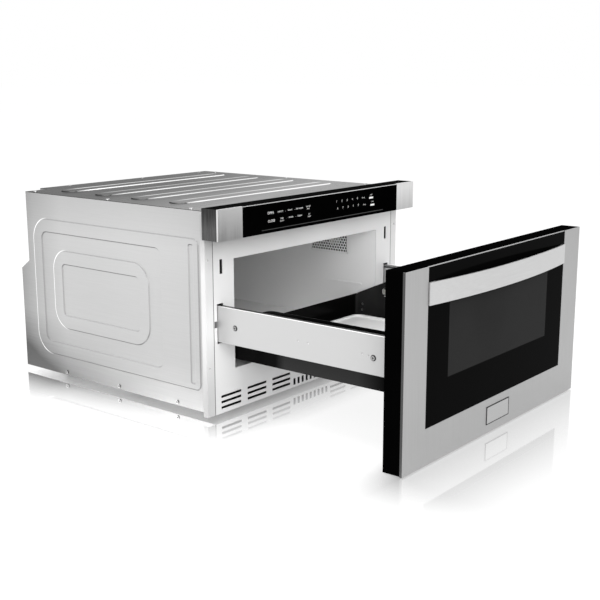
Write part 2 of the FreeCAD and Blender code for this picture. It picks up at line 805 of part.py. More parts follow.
def drive_motor():
    """Gear motor that moves the drawer: flat gearbox above, round motor below."""
    y0 = frame_sheet + bracket_sheet + 2
    place = lambda x, y: V(x, y, gearbox_top - gearbox_height)
    case = rounded_block(gearbox_x - gearbox_width / 2, gearbox_x + gearbox_width / 2,
                         y0, y0 + gearbox_length, 6, place, (0, 0, gearbox_height))
    motor_y = y0 + gearbox_length - motor_radius - 2
    bottom = gearbox_top - gearbox_height
    motor = rod(motor_radius, (gearbox_x, motor_y, bottom - motor_height),
                (gearbox_x, motor_y, bottom))
    cap = rod(motor_radius * 0.4, (gearbox_x, motor_y, bottom - motor_height - 3),
              (gearbox_x, motor_y, bottom - motor_height))
    bore = rod(shaft_radius + running_gap, (pinion_x, pinion_y, gearbox_top - gearbox_height / 2 - 0.3),
               (pinion_x, pinion_y, gearbox_top + 1))
    return join([case, motor, cap]).cut(bore)


# ---------------------------------------------------------------- drawer tub and tray
def drawer_tub():
    """Enamelled tub: its side walls rise from the low rear wall to the drawer front."""
    z0, zr, zf = tub_z, tub_z + tub_low, tub_z + tub_high
    lean, crest = math.atan2(zf - zr, tub_ramp), tub_rear - tub_ramp
    reach = tub_crest * math.tan(lean / 2)
    side_point = lambda y, z: V(-tub_half, y, z)
    start = side_point(crest + reach * math.cos(lean), zf - reach * math.sin(lean))
    middle = side_point(crest - reach + tub_crest * math.sin(lean / 2),
                        zf - tub_crest * (1 - math.cos(lean / 2)))
    end = side_point(crest - reach, zf)
    rest = Part.makePolygon([end, side_point(door_back, zf), side_point(door_back, z0),
                             side_point(tub_rear, z0), side_point(tub_rear, zr), start])
    profile = Part.Wire([Part.Arc(start, middle, end).toShape()] + rest.Edges)
    outer = Part.Face(profile).extrude(V(2 * tub_half, 0, 0))
    place = lambda x, y: V(x, y, z0 + tub_wall)
    inner = rounded_block(-tub_half + tub_wall, tub_half - tub_wall, door_back + tub_wall,
                          tub_rear - tub_wall, tub_corner, place, (0, 0, tub_high + 10))
    hole_z = base_z + tub_hole_low
    holes = [rod(tub_hole_radius, (side * (tub_half + 1), tub_hole_y, hole_z),
                 (side * (tub_half - 3 * tub_wall), tub_hole_y, hole_z)) for side in (-1, 1)]
    n = tub_notch
    notches = [prism([(side * (tub_half + 1), tub_rear - 2 * n, zr + 2 * n),
                      (side * (tub_half + 1), tub_rear - n, zr - n),
                      (side * (tub_half + 1), tub_rear, zr + 2 * n)],
                     (-side * (3 * tub_wall + 1), 0, 0)) for side in (-1, 1)]
    return outer.cut([inner] + holes + notches)


def glass_tray():
    """Flat glass tray with a raised rim, on the tub's floor."""
    x = tub_half - tray_side
    y0, y1 = door_back + tray_front, tub_rear - tray_rear
    z = tub_z + tub_wall
    body = rounded_block(-x, x, y0, y1, tray_radius, lambda u, v: V(u, v, z),
                         (0, 0, tray_thick + tray_rim))
    r = tray_rim_width
    dish = rounded_block(-x + r, x - r, y0 + r, y1 - r, tray_radius - r,
                         lambda u, v: V(u, v, z + tray_thick), (0, 0, tray_rim + 1))
    return body.cut(dish)


# ---------------------------------------------------------------- drawer front
def door_trim():
    """Brushed steel stiles and lower rail in one folded piece."""
    front, back = door_front, door_front + trim_return
    face = block(-door_half, door_half, front, front + trim_sheet, door_z, door_top)
    hole = block(-glass_half, glass_half, front - 1, front + trim_sheet + 1,
                 door_z + rail_height, door_top + 1)
    folds = [block(side * door_half, side * (door_half - trim_sheet), front, back, door_z, door_top)
             for side in (-1, 1)]
    folds.append(block(-door_half, door_half, front, back, door_z, door_z + trim_sheet))
    return join([face.cut(hole)] + folds)


def door_glass():
    """Black glass between the stiles, flush with them."""
    x = glass_half - glass_gap
    return block(-x, x, door_front + glass_gap, door_front + glass_gap + glass_thick,
                 door_z + rail_height + glass_gap, door_top - glass_gap)


def door_shell():
    """Black surround of the drawer front, open at the back, with the window's aperture."""
    x = door_half - trim_sheet
    z0 = door_z + trim_sheet
    glass_back = door_front + glass_gap + glass_thick
    solid = block(-x, x, door_front + trim_sheet, door_back - back_sheet, z0, door_top)
    seat = block(-glass_half, glass_half, door_front, glass_back, door_z + rail_height, door_top + 1)
    hollow = block(-x + shell_wall, x - shell_wall, glass_back + shell_wall, door_back,
                   z0 + shell_wall, door_top - shell_wall)
    z = door_z + window_low
    window = block(-window_width / 2, window_width / 2, door_front - 1, door_back,
                   z, z + window_height)
    return solid.cut([seat, hollow, window])


def window_screen():
    """Microwave screen behind the window, with a turned-back edge."""
    y0 = door_front + glass_gap + glass_thick + shell_wall
    e = screen_edge
    z = door_z + window_low
    x = window_width / 2 + e
    plate = block(-x, x, y0, y0 + screen_sheet, z - e, z + window_height + e)
    edge = block(-x, x, y0, y0 + 4, z - e, z + window_height + e)
    inside = block(-x + screen_sheet, x - screen_sheet, y0 - 1, y0 + 5,
                   z - e + screen_sheet, z + window_height + e - screen_sheet)
    return join([plate, edge.cut(inside)])


def door_back_plate():
    """Steel back of the drawer front, facing the cavity."""
    x = door_half - trim_sheet
    return block(-x, x, door_back - back_sheet, door_back, door_z + trim_sheet, door_top)


def choke_ring():
    """Folded choke ring inside the drawer front, on its back plate."""
    x = door_half - choke_inset
    z0, z1 = door_z + choke_low, door_top - choke_inset / 2
    y1 = door_back - back_sheet
    y0 = y1 - choke_depth
    w, t = choke_width, choke_wall
    ring = block(-x, x, y0, y1, z0, z1).cut(block(-x + w, x - w, y0 - 1, y1 + 1, z0 + w, z1 - w))
    groove = block(-x + t, x - t, y0 + t, y1 + 1, z0 + t, z1 - t).cut(
        block(-x + w - t, x - w + t, y0, y1 + 2, z0 + w - t, z1 - w + t))
    comb = []
    for start, end, along_x in ((z0 + 2 * w, z1 - 2 * w, False), (-x + 2 * w, x - 2 * w, True)):
        count = int((end - start) / choke_pitch)
        for i in range(count + 1):
            u = (start + end) / 2 + (i - count / 2) * choke_pitch
            low, high = u - choke_slot / 2, u + choke_slot / 2
            if along_x:
                comb += [block(low, high, y0 + 3 * t, y1 + 1, z0 + w - 2 * t, z0 + w + t),
                         block(low, high, y0 + 3 * t, y1 + 1, z1 - w - t, z1 - w + 2 * t)]
            else:
                comb += [block(side * (x - w - t), side * (x - w + 2 * t), y0 + 3 * t, y1 + 1,
                               low, high) for side in (-1, 1)]
    return ring.cut([groove] + comb)


def handle():
    """Bowed steel strip with a block at each end that stands on the drawer front."""
    x_end = glass_half - handle_end_gap
    z = door_z + handle_low
    face = door_front
    bow, t = handle_bow, handle_strip
    out = [V(-x_end, face - t, z), V(0, face - bow - t, z), V(x_end, face - t, z)]
    back = [V(x_end, face, z), V(0, face - bow, z), V(-x_end, face, z)]
    edges = [Part.Arc(*out).toShape(), Part.LineSegment(out[2], back[0]).toShape(),
             Part.Arc(*back).toShape(), Part.LineSegment(back[2], out[0]).toShape()]
    strip = Part.Face(Part.Wire(edges)).extrude(V(0, 0, handle_height))
    arc_face = Part.Face(Part.Wire([Part.Arc(*back).toShape(),
                                    Part.LineSegment(back[2], back[0]).toShape()]))
    fill = arc_face.extrude(V(0, 0, handle_height))
    middle = block(-x_end + handle_block, x_end - handle_block, face - bow - 5, face + 1,
                   z - 1, z + handle_height + 1)
    feet = block(-x_end, x_end, face, face + glass_gap, z, z + handle_height).cut(middle)
    return join([strip, fill.cut(middle), feet])


def latch_hooks():
    """Two steel latch tongues on the drawer front, which enter the frame's slots."""
    z0, z1 = latch_z + latch_play, latch_z + latch_height - latch_play
    x, r = latch_centre, latch_reach
    w = latch_width / 2 - latch_side_play
    out = door_back + r
    points = [(x - w, door_back, z0), (x - w, out - r * 0.38, z0), (x - w, out, z0 + r * 0.31),
              (x - w, out, z1 - r * 0.15), (x - w, out - r * 0.54, z1),
              (x - w, out - r * 0.54, z1 - r * 0.38), (x - w, out - r * 0.85, z1 - r * 0.38),
              (x - w, door_back, z1)]
    tongue = prism(points, (2 * w, 0, 0))
    return Part.makeCompound([tongue, mirror_x(tongue)])


# ---------------------------------------------------------------- control panel
def control_housing():
    """Dark box of the control panel, open at the back, with bosses for the board."""
    front = -panel_depth + panel_face
    outer = block(-door_half, door_half, front, 0, panel_z, panel_z + panel_height)
    w = panel_wall
    inner = block(-door_half + w, door_half - w, front + w, 1, panel_z + w,
                  panel_z + panel_height - w)
    bosses = [rod(boss_radius, (x, front + w, z), (x, front + w + boss_length, z))
              for x, z in board_points()]
    return join([outer.cut(inner)] + bosses)


def board_points():
    """Where the control board is screwed to its bosses."""
    x = door_half - panel_cap - board_margin - boss_radius
    low, high = panel_z + board_margin, panel_z + panel_height - board_margin
    return [(sx * x, z) for sx in (-1, 0, 1) for z in (low, high)]


def control_board():
    """Touch and display board on its bosses, with a relay block and a connector."""
    front = -panel_depth + panel_face + panel_wall + boss_length
    x = door_half - panel_cap - board_margin
    z0, z1 = panel_z + board_edge, panel_z + panel_height - board_edge
    board = block(-x, x, front, front + board_thick, z0, z1)
    back, h = front + board_thick, z1 - z0
    relay = block(-x + h * 0.44, -x + h * 1.1, back, back + h * 0.31, z0 + h * 0.26, z1 - h * 0.26)
    plug = block(x - h * 1.32, x - h * 0.44, back, back + h * 0.18, z0 + h * 0.22, z0 + h * 0.4)
    chip = block(-h * 0.44, h * 0.44, back, back + h * 0.07, z0 + h * 0.3, z0 + h * 0.7)
    return join([board, relay, plug, chip])


def control_glass():
    """Black glass of the touch panel."""
    x = door_half - panel_cap - glass_gap
    return block(-x, x, -panel_depth, -panel_depth + panel_face,
                 panel_z + glass_gap, panel_z + panel_height - glass_gap)


def control_cap(side):
    """Brushed steel end cap beside the touch glass."""
    return block(side * (door_half - panel_cap), side * door_half, -panel_depth,
                 -panel_depth + panel_face, panel_z, panel_z + panel_height)


# ---------------------------------------------------------------- microwave parts
def waveguide():
    """Wave guide: up the cavity's rear wall and forward over its roof to the well."""
    x, t = guide_width / 2, guide_wall
    y0, y1, y2 = well_front + well_length, cavity_rear, cavity_rear + guide_broad
    z0, z1 = base_z + guide_low, roof_z + sheet
    z2 = z1 + guide_broad
    outer = prism([(-x, y1, z0), (-x, y2, z0), (-x, y2, z2), (-x, y0, z2), (-x, y0, z1),
                   (-x, y1, z1)], (2 * x, 0, 0))
    inner = prism([(-x + t, y1 + t, z0 + t), (-x + t, y2 - t, z0 + t), (-x + t, y2 - t, z2 - t),
                   (-x + t, y0 - 1, z2 - t), (-x + t, y0 - 1, z1 + t), (-x + t, y1 + t, z1 + t)],
                  (2 * (x - t), 0, 0))
    port = rod(antenna_radius + 1, (-x - 1, magnetron_y, magnetron_z),
               (-x + 2 * t, magnetron_y, magnetron_z))
    return outer.cut([inner, port])


def magnetron():
    """Magnetron: mounting plate, yoke with cooling fins, filter box and antenna."""
    x, y, z, t = -guide_width / 2, magnetron_y, magnetron_z, plate_thick
    wide, high = magnetron_plate / 2, magnetron_height / 2
    yoke_x, box_x = x - magnetron_reach * 2 / 3, x - magnetron_reach * 0.92
    plate = block(x - t, x, y - wide, y + wide, z - high, z + high)
    body = rod(wide / 2, (yoke_x + t, y, z), (x - t, y, z))
    yoke = block(yoke_x, x - t, y - wide + t, y + wide - t, z - high + 2 * t, z + high - 2 * t)
    yoke = yoke.cut(block(yoke_x + t, x - 2 * t, y - wide, y + wide,
                          z - high + 3 * t, z + high - 3 * t))
    step = (x - 2 * t - yoke_x - t) / (magnetron_fins + 1)
    fins = []
    for i in range(magnetron_fins):
        fin_x = yoke_x + t + (i + 1) * step - fin_thick / 2
        fins.append(block(fin_x, fin_x + fin_thick, y - wide + 2 * t, y + wide - 2 * t,
                          z - high + 3 * t, z + high - 3 * t))
    filter_box = block(box_x, yoke_x, y - wide * 5 / 6, y + wide * 5 / 6, z - high * 2 / 3,
                       z + high * 2 / 3)
    antenna = rod(antenna_radius, (x - t, y, z), (x + guide_width * 0.45, y, z))
    terminal = block(x - magnetron_reach, box_x, y - antenna_radius, y + antenna_radius,
                     z - antenna_radius, z + antenna_radius)
    return join([plate, body, yoke, filter_box, antenna, terminal] + fins)


def fan_shroud():
    """Square shroud on the rear panel with a round opening and a motor spider."""
    s, d = fan_shroud_size / 2, fan_shroud_depth / 2
    x0, x1 = fan_x + d - fan_arm_thick, fan_x + d
    frame = block(fan_x - d, fan_x + d, fan_y - s, fan_y + s, fan_z - s, fan_z + s)
    opening = rod(fan_radius + fan_opening, (fan_x - d - 1, fan_y, fan_z),
                  (fan_x + d + 1, fan_y, fan_z))
    reach, a = s - fan_arm_thick, fan_arm / 2
    arms = [block(x0, x1, fan_y - reach, fan_y + reach, fan_z - a, fan_z + a),
            block(x0, x1, fan_y - a, fan_y + a, fan_z - reach, fan_z + reach)]
    disc = rod(fan_radius / 2, (x0, fan_y, fan_z), (x1, fan_y, fan_z))
    hole = rod(spindle_radius + spindle_clearance, (x0 - 1, fan_y, fan_z), (x1 + 1, fan_y, fan_z))
    return join([frame.cut(opening), disc] + arms).cut(hole)


def fan_motor():
    """Motor of the cooling fan: laminated core with a coil above the spindle."""
    x, m, d = fan_x + fan_shroud_depth / 2, fan_motor_size / 2, fan_motor_depth
    core = block(x, x + d, fan_y - m, fan_y + m, fan_z - m, fan_z + m * 1.25)
    coil = block(x + d * 0.1, x + d * 0.9, fan_y - m * 0.75, fan_y + m * 0.75,
                 fan_z + m * 1.25, fan_z + m * 1.67)
    bore = rod(spindle_radius + running_gap, (x - 1, fan_y, fan_z),
               (x + d * 0.75, fan_y, fan_z))
    return join([core, coil]).cut(bore)


def fan_wheel():
    """Cooling fan: hub, spindle and raked blades."""
    depth = fan_shroud_depth * 0.3
    hub = rod(fan_hub, (fan_x - depth, fan_y, fan_z), (fan_x + depth, fan_y, fan_z))
    spindle = rod(spindle_radius, (fan_x, fan_y, fan_z),
                  (fan_x + fan_shroud_depth / 2 + fan_motor_depth * 0.73, fan_y, fan_z))
    chord, thick, tip = fan_chord / 2, fan_blade_thick / 2, fan_chord * 3 / 7
    blades = []
    for i in range(fan_blades):
        blade = block(-chord, chord, -thick, thick, fan_hub - 2, fan_radius)
        blade = blade.cut(rod(tip, (chord * 0.6, -2 * thick, fan_radius + tip / 3),
                              (chord * 0.6, 2 * thick, fan_radius + tip / 3)))
        blade.rotate(V(0, 0, 0), V(0, 0, 1), fan_rake)
        blade.rotate(V(0, 0, 0), V(1, 0, 0), 360 * i / fan_blades)
        blade.translate(V(fan_x, fan_y, fan_z))
        blades.append(blade)
    return join([hub, spindle] + blades)


def stirrer_motor():
    """Flat synchronous motor on the well's roof."""
    z, r, h = roof_z + sheet + well_height, stirrer_motor_radius, stirrer_motor_height
    can = rod(r, (0, well_y, z), (0, well_y, z + h))
    ear = r / 4
    ears = rounded_block(-r - ear * 5 / 3, r + ear * 5 / 3, well_y - ear, well_y + ear,
                         ear - 0.2, lambda u, v: V(u, v, z), (0, 0, sheet))
    bore = rod(spindle_radius + running_gap, (0, well_y, z - 1), (0, well_y, z + h * 0.62))
    return join([can, ears]).cut(bore)


def stirrer():
    """Field stirrer in the well: a spindle with sloping paddles."""
    z = roof_z + sheet + well_height
    low = z - stirrer_drop
    spindle = rod(spindle_radius, (0, well_y, low - 2), (0, well_y, z + stirrer_motor_height * 0.6))
    hub = rod(spindle_radius * 3.2, (0, well_y, low - 4), (0, well_y, low + 4))
    paddles = []
    for i in range(stirrer_blades):
        paddle = block(spindle_radius * 2, stirrer_radius, -paddle_width / 2, paddle_width / 2,
                       -paddle_thick / 2, paddle_thick / 2)
        paddle.rotate(V(0, 0, 0), V(1, 0, 0), stirrer_rake)
        paddle.rotate(V(0, 0, 0), V(0, 0, 1), 360 * i / stirrer_blades)
        paddle.translate(V(0, well_y, low))
        paddles.append(paddle)
    return join([spindle, hub] + paddles)


def stirrer_cover():
    """Thin plate that closes the well from below."""
    x, e = well_width / 2 + cover_edge, cover_edge
    return rounded_block(-x, x, well_front - e, well_front + well_length + e, e * 4 / 3,
                         lambda u, v: V(u, v, roof_z - sheet), (0, 0, sheet))


def transformer():
    """High-voltage transformer on the floor: foot plate, laminated core and windings."""
    x, y, z, t = transformer_x, (cavity_rear + rear_inner) / 2 + 4, base_floor, plate_thick
    wide, deep, high = transformer_width / 2, transformer_core / 2, transformer_height
    foot = block(x - wide * 1.17, x + wide * 1.17, y - deep * 1.75, y + deep * 1.75, z, z + t)
    core = block(x - wide, x + wide, y - deep, y + deep, z + t, z + t + high)
    coils = [rounded_block(x - wide * 0.64, x + wide * 0.64, z + high * 0.23, z + high * 0.82,
                           coil_reach / 2, lambda u, v, s=s: V(u, y + deep * s, v),
                           (0, coil_reach * s, 0)) for s in (-1, 1)]
    return join([foot, core] + coils)


def capacitor():
    """Oval high-voltage capacitor in its strap, lying on the floor."""
    x, y, z = capacitor_x, (cavity_rear + rear_inner) / 2, base_floor
    reach, wide, high, strap = (capacitor_length / 2, capacitor_width / 2, capacitor_height,
                                capacitor_strap)
    can = rounded_block(y - wide, y + wide, z, z + high, high * 0.44,
                        lambda u, v: V(x - reach, u, v), (2 * reach, 0, 0))
    pins = [block(x + reach, x + reach + strap / 2, y + s * wide * 0.4 - strap / 5,
                  y + s * wide * 0.4 + strap / 5, z + high * 0.4, z + high * 0.6)
            for s in (-1, 1)]
    band = rounded_block(y - wide - 1, y + wide + 1, z, z + high + 1, high * 0.45,
                         lambda u, v: V(x - strap / 2, u, v), (strap, 0, 0))
    return join([can, band] + pins)


def filter_board():
    """Mains filter board on four posts on the rear panel."""
    wide, high, post = filter_width / 2, filter_height / 2, filter_post
    x, y, z = filter_x, rear_inner - post - board_thick, base_z + filter_low + high
    inset = post * 0.9
    posts = [rod(post * 0.4, (x + sx * (wide - inset), rear_inner - post, z + sz * (high - inset)),
                 (x + sx * (wide - inset), rear_inner, z + sz * (high - inset)))
             for sx in (-1, 1) for sz in (-1, 1)]
    board = block(x - wide, x + wide, y, y + board_thick, z - high, z + high)
    choke = rod(post * 2, (x - post * 1.6, y - post * 2, z), (x - post * 1.6, y, z)).cut(
        rod(post * 0.9, (x - post * 1.6, y - post * 2 - 1, z), (x - post * 1.6, y - post / 3, z)))
    x0, x1 = x + wide * 0.22, x + wide * 0.84
    cap = block(x0, x1, y - post * 1.8, y, z - high * 0.63, z - high * 0.2)
    fuse_z = z + high * 0.5
    fuse = rod(post / 2, (x0, y - post * 0.7, fuse_z), (x1, y - post * 0.7, fuse_z))
    clips = [block(end, end + way * post * 0.75, y - post * 0.85, y, fuse_z - post * 0.65,
                   fuse_z + post * 0.65) for end, way in ((x0, 1), (x1, -1))]
    return join([board, choke, cap, fuse] + posts + clips)


def air_duct():
    """Duct over the vent screen that carries the cooling air and holds the lamp."""
    x0 = wall_x + vent_screen_sheet
    x1 = x0 + duct_depth
    e = vent_screen_edge
    y0, y1 = vent_front - e, vent_front + vent_length + e
    z0, z1 = vent_z - e, vent_z + vent_height + e
    outer = block(x0, x1, y0, y1, z0, z1)
    inner = block(x0 - 1, x1 - sheet, y0 + sheet, y1 + 1, z0 + sheet, z1 - sheet)
    hole = rod(lamp_radius + 1, (x1 - 3, lamp_y, lamp_z), (x1 + 1, lamp_y, lamp_z))
    return outer.cut([inner, hole])


def oven_lamp():
    """Lamp bulb inside the duct, turned in one with its neck and the holder outside."""
    x1 = wall_x + vent_screen_sheet + duct_depth
    r, neck, out = lamp_radius, lamp_radius - 1, lamp_holder
    tip = x1 - 2.45 * r
    outline = [(tip, 0), (tip, r / 2), (tip + r / 2, r), (x1 - r / 2, r), (x1 - r / 2, neck),
               (x1, neck), (x1, r * 1.22), (x1 + out, r * 1.22), (x1 + out, 0)]
    loop = Part.makePolygon([V(x, lamp_y, lamp_z + radius) for x, radius in outline + outline[:1]])
    turned = Part.Face(loop).revolve(V(x1, lamp_y, lamp_z), V(1, 0, 0), 360)
    flange = block(x1, x1 + out / 5, lamp_y - r * 2, lamp_y + r * 2, lamp_z - r * 1.55,
                   lamp_z + r * 1.55)
    return join([turned, flange])


def thermal_cutouts():
    """Two thermal cut-outs on the cavity's roof."""
    z, y, r, h = roof_z + sheet, cavity_depth - cutout_rear, cutout_radius, cutout_height
    ear = r * 0.75
    cutouts = []
    for x in (-cutout_x, cutout_x):
        flange = rounded_block(x - r * 1.75, x + r * 1.75, y - ear, y + ear, ear - 0.2,
                               lambda u, v: V(u, v, z), (0, 0, sheet))
        can = rod(r, (x, y, z + sheet), (x, y, z + sheet + h))
        tabs = [block(x + s * r / 2 - r / 5, x + s * r / 2 + r / 5, y - r / 20, y + r / 20,
                      z + sheet + h, z + sheet + h + r) for s in (-1, 1)]
        cutouts.append(join([flange, can] + tabs))
    return Part.makeCompound(cutouts)


def interlock(side):
    """Door switch on its bracket behind a latch slot."""
    x0 = latch_centre - latch_width / 2 - 4
    low, high = latch_z, latch_z + latch_height
    z0, z1 = low - switch_margin, high + switch_margin
    plate = block(x0 - bracket_sheet, x0, frame_sheet, switch_reach, z0, z1)
    foot = block(x0 - switch_width * 1.27, x0, frame_sheet, frame_sheet + bracket_sheet, z0, z1)
    y1 = switch_reach - 2
    y0, low = y1 - switch_length, low + 4
    switch = block(x0, x0 + switch_width, y0, y1, low, low + switch_height)
    x1, x2 = x0 + switch_width * 0.27, x0 + switch_width * 0.73
    lever = block(x1, x2, y0 - 1.4, y0 - 0.8, low + 2, low + switch_height + 4)
    stem = block(x1, x2, y0 - 0.8, y0, low + 2, low + 4)
    return on_side(side, join([plate, foot, switch, lever, stem]))


def cord_gland():
    """Bush for the mains lead in the wall of the recess."""
    y, length = notch_y, gland_length
    body = rod(gland_radius, (gland_x, y - length, gland_z), (gland_x, y, gland_z))
    flange = rod(gland_radius + gland_flange, (gland_x, y, gland_z),
                 (gland_x, y + length / 2, gland_z))
    nose = rod(gland_radius * 0.8, (gland_x, y, gland_z), (gland_x, y + length * 1.5, gland_z))
    bore = rod(gland_bore, (gland_x, y - length - 1, gland_z),
               (gland_x, y + length * 1.5 + 1, gland_z))
    return join([body, flange, nose]).cut(bore)


# ---------------------------------------------------------------- fasteners
def screw_head(point, way):
    """Low round screw head, standing out along a direction."""
    return Part.makeCylinder(screw_radius, screw_height, V(*point), V(*way))


def chassis_screws():
    """Screw heads along the lower edge of each side and along the top cover."""
    heads = []
    for side in (-1, 1):
        for share in side_screws:
            heads.append(screw_head((side * half, share * body_depth, base_z + screw_rise),
                                    (side, 0, 0)))
        for share in top_screws:
            heads.append(screw_head((side * (half - screw_inset), share * body_depth, top_z),
                                    (0, 0, 1)))
    for share in rear_screws:
        heads.append(screw_head((share * half, body_depth - screw_inset, top_z), (0, 0, 1)))
    return Part.makeCompound(heads)


def drawer_screws():
    """Screws on the outside of the side plates and rivets inside the tub."""
    heads = []
    inner = tub_half - tub_wall
    for side in (-1, 1):
        for share, rise in plate_screws:
            heads.append(screw_head((side * plate_outer, share * open_travel, plate_z + rise),
                                    (side, 0, 0)))
        for rise in tub_rivets:
            heads.append(rod(rivet_radius, (side * inner, tub_rivet_y, tub_z + rise),
                             (side * (inner - rivet_height), tub_rivet_y, tub_z + rise)))
    return Part.makeCompound(heads)


# ---------------------------------------------------------------- all pieces
def pieces():
    """Name and shape of every piece."""
    made = {
        "base_pan": base_pan(), "top_cover": top_cover(), "rear_panel": rear_panel(),
        "front_frame": front_frame(), "cavity_floor": cavity_floor(),
        "cavity_rear_wall": cavity_rear_wall(), "cavity_roof": cavity_roof(),
        "vent_screen": vent_screen(), "drive_rack": drive_rack(), "drive_pinion": drive_pinion(),
        "drive_bracket": drive_bracket(), "drive_motor": drive_motor(),
        "drawer_tub": drawer_tub(), "glass_tray": glass_tray(), "door_trim": door_trim(),
        "door_glass": door_glass(), "door_shell": door_shell(), "window_screen": window_screen(),
        "door_back_plate": door_back_plate(), "choke_ring": choke_ring(), "handle": handle(),
        "latch_hooks": latch_hooks(), "control_housing": control_housing(),
        "control_board": control_board(), "control_glass": control_glass(),
        "waveguide": waveguide(), "magnetron": magnetron(), "fan_shroud": fan_shroud(),
        "fan_motor": fan_motor(), "fan_wheel": fan_wheel(), "stirrer_motor": stirrer_motor(),
        "stirrer": stirrer(), "stirrer_cover": stirrer_cover(), "transformer": transformer(),
        "capacitor": capacitor(), "filter_board": filter_board(), "air_duct": air_duct(),
        "oven_lamp": oven_lamp(), "thermal_cutouts": thermal_cutouts(),
        "cord_gland": cord_gland(), "chassis_screws": chassis_screws(),
        "drawer_screws": drawer_screws(),
    }
    sided = {"side_panel": side_panel, "cavity_wall": cavity_side, "slide_bracket": slide_bracket,
             "slide_outer": slide_outer, "slide_middle": slide_middle, "slide_inner": slide_inner,
             "side_plate": side_plate, "control_cap": control_cap, "interlock": interlock}
    for name, make in sided.items():
        made[name + "_left"] = make(-1)
        made[name + "_right"] = make(1)
    return made


def save(name, shape):
    """Write one piece, moved so that the origin lies under the middle of the body."""
    shape = shape.translated(V(0, -body_depth / 2, 0))
    shape.exportStep(os.path.join("parts", name + ".step"))
    box = shape.BoundBox
    print("%-20s solids %2d valid %s volume %10.1f  x %7.1f %7.1f  y %7.1f %7.1f  z %6.1f %6.1f" % (
        name, len(shape.Solids), shape.isValid(), shape.Volume,
        box.XMin, box.XMax, box.YMin, box.YMax, box.ZMin, box.ZMax))


os.makedirs("parts", exist_ok=True)
for piece, form in sorted(pieces().items()):
    save(piece, form)
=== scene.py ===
import math

import bmesh
import bpy
from mathutils import Matrix, Vector


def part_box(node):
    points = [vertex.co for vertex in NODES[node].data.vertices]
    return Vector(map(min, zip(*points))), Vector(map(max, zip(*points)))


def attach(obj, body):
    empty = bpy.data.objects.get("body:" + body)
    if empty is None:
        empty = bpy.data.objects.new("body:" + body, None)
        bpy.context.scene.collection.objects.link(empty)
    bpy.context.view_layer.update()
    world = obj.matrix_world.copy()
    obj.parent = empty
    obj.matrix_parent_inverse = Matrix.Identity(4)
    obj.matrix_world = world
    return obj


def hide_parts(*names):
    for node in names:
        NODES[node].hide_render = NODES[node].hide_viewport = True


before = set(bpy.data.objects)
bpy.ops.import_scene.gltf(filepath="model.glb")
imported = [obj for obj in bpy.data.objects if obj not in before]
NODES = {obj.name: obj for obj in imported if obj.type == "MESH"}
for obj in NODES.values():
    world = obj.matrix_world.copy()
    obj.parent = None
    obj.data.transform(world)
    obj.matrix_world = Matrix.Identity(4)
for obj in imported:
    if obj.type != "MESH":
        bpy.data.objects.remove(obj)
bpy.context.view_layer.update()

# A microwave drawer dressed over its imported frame. Metres; the row frame throughout.
RIB_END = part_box("top_cover")[0].x + 0.042


# ---------------------------------------------------------------- material helpers
def tree_of(name):
    """New node material and its principled shader."""
    made = bpy.data.materials.new(name)
    made.use_nodes = True
    return made, made.node_tree, made.node_tree.nodes["Principled BSDF"]


def node(tree, kind, **values):
    """Adds a node; a value whose name is an input goes there, otherwise it's a property."""
    made = tree.nodes.new("ShaderNode" + kind)
    for key, value in values.items():
        name = key.replace("_", " ")
        if name in made.inputs:
            made.inputs[name].default_value = value
        else:
            setattr(made, key, value)
    return made


def place(tree, scale=(1, 1, 1), rotation=(0, 0, 0)):
    """Object coordinates, stretched."""
    coordinate = node(tree, "TexCoord")
    mapping = node(tree, "Mapping", Scale=scale, Rotation=rotation)
    tree.links.new(coordinate.outputs["Object"], mapping.inputs["Vector"])
    return mapping.outputs["Vector"]


def noise(tree, vector, scale, detail=3.0, rough=0.55):
    """Factor of a noise texture."""
    made = node(tree, "TexNoise", Scale=scale, Detail=detail, Roughness=rough)
    tree.links.new(vector, made.inputs["Vector"])
    return made.outputs["Fac"]


def maths(tree, operation, a, b=None, clamp=False):
    """Math node; a and b are sockets or numbers."""
    made = node(tree, "Math", operation=operation, use_clamp=clamp)
    for i, value in enumerate((a, b)):
        if isinstance(value, bpy.types.NodeSocket):
            tree.links.new(value, made.inputs[i])
        elif value is not None:
            made.inputs[i].default_value = value
    return made.outputs[0]


def spread(tree, factor, low, high, start=0.0, end=1.0):
    """Maps a factor from start..end to low..high."""
    made = node(tree, "MapRange")
    tree.links.new(factor, made.inputs["Value"])
    for key, value in (("From Min", start), ("From Max", end), ("To Min", low), ("To Max", high)):
        made.inputs[key].default_value = value
    return made.outputs["Result"]


def tones(tree, factor, low, high, start=0.25, end=0.75):
    """Colour between two tones."""
    made = node(tree, "ValToRGB")
    ramp = made.color_ramp
    ramp.elements[0].position, ramp.elements[1].position = start, end
    ramp.elements[0].color, ramp.elements[1].color = (*low, 1), (*high, 1)
    tree.links.new(factor, made.inputs["Fac"])
    return made.outputs["Color"]


def blend(tree, factor, first, second):
    """Goes from the first colour to the second; each is a socket or a grey value."""
    made = node(tree, "Mix", data_type="RGBA", blend_type="MIX", clamp_factor=True)
    for socket, value in ((made.inputs["Factor"], factor), (made.inputs[6], first),
                          (made.inputs[7], second)):
        if isinstance(value, bpy.types.NodeSocket):
            tree.links.new(value, socket)
        else:
            socket.default_value = (value, value, value, 1)
    return made.outputs[2]


def relief(tree, shader, height, strength, depth):
    """Bump on a shader's normal."""
    made = node(tree, "Bump", Strength=strength, Distance=depth)
    tree.links.new(height, made.inputs["Height"])
    tree.links.new(made.outputs["Normal"], shader.inputs["Normal"])


def grey(value):
    """Neutral colour."""
    return (value, value, value)


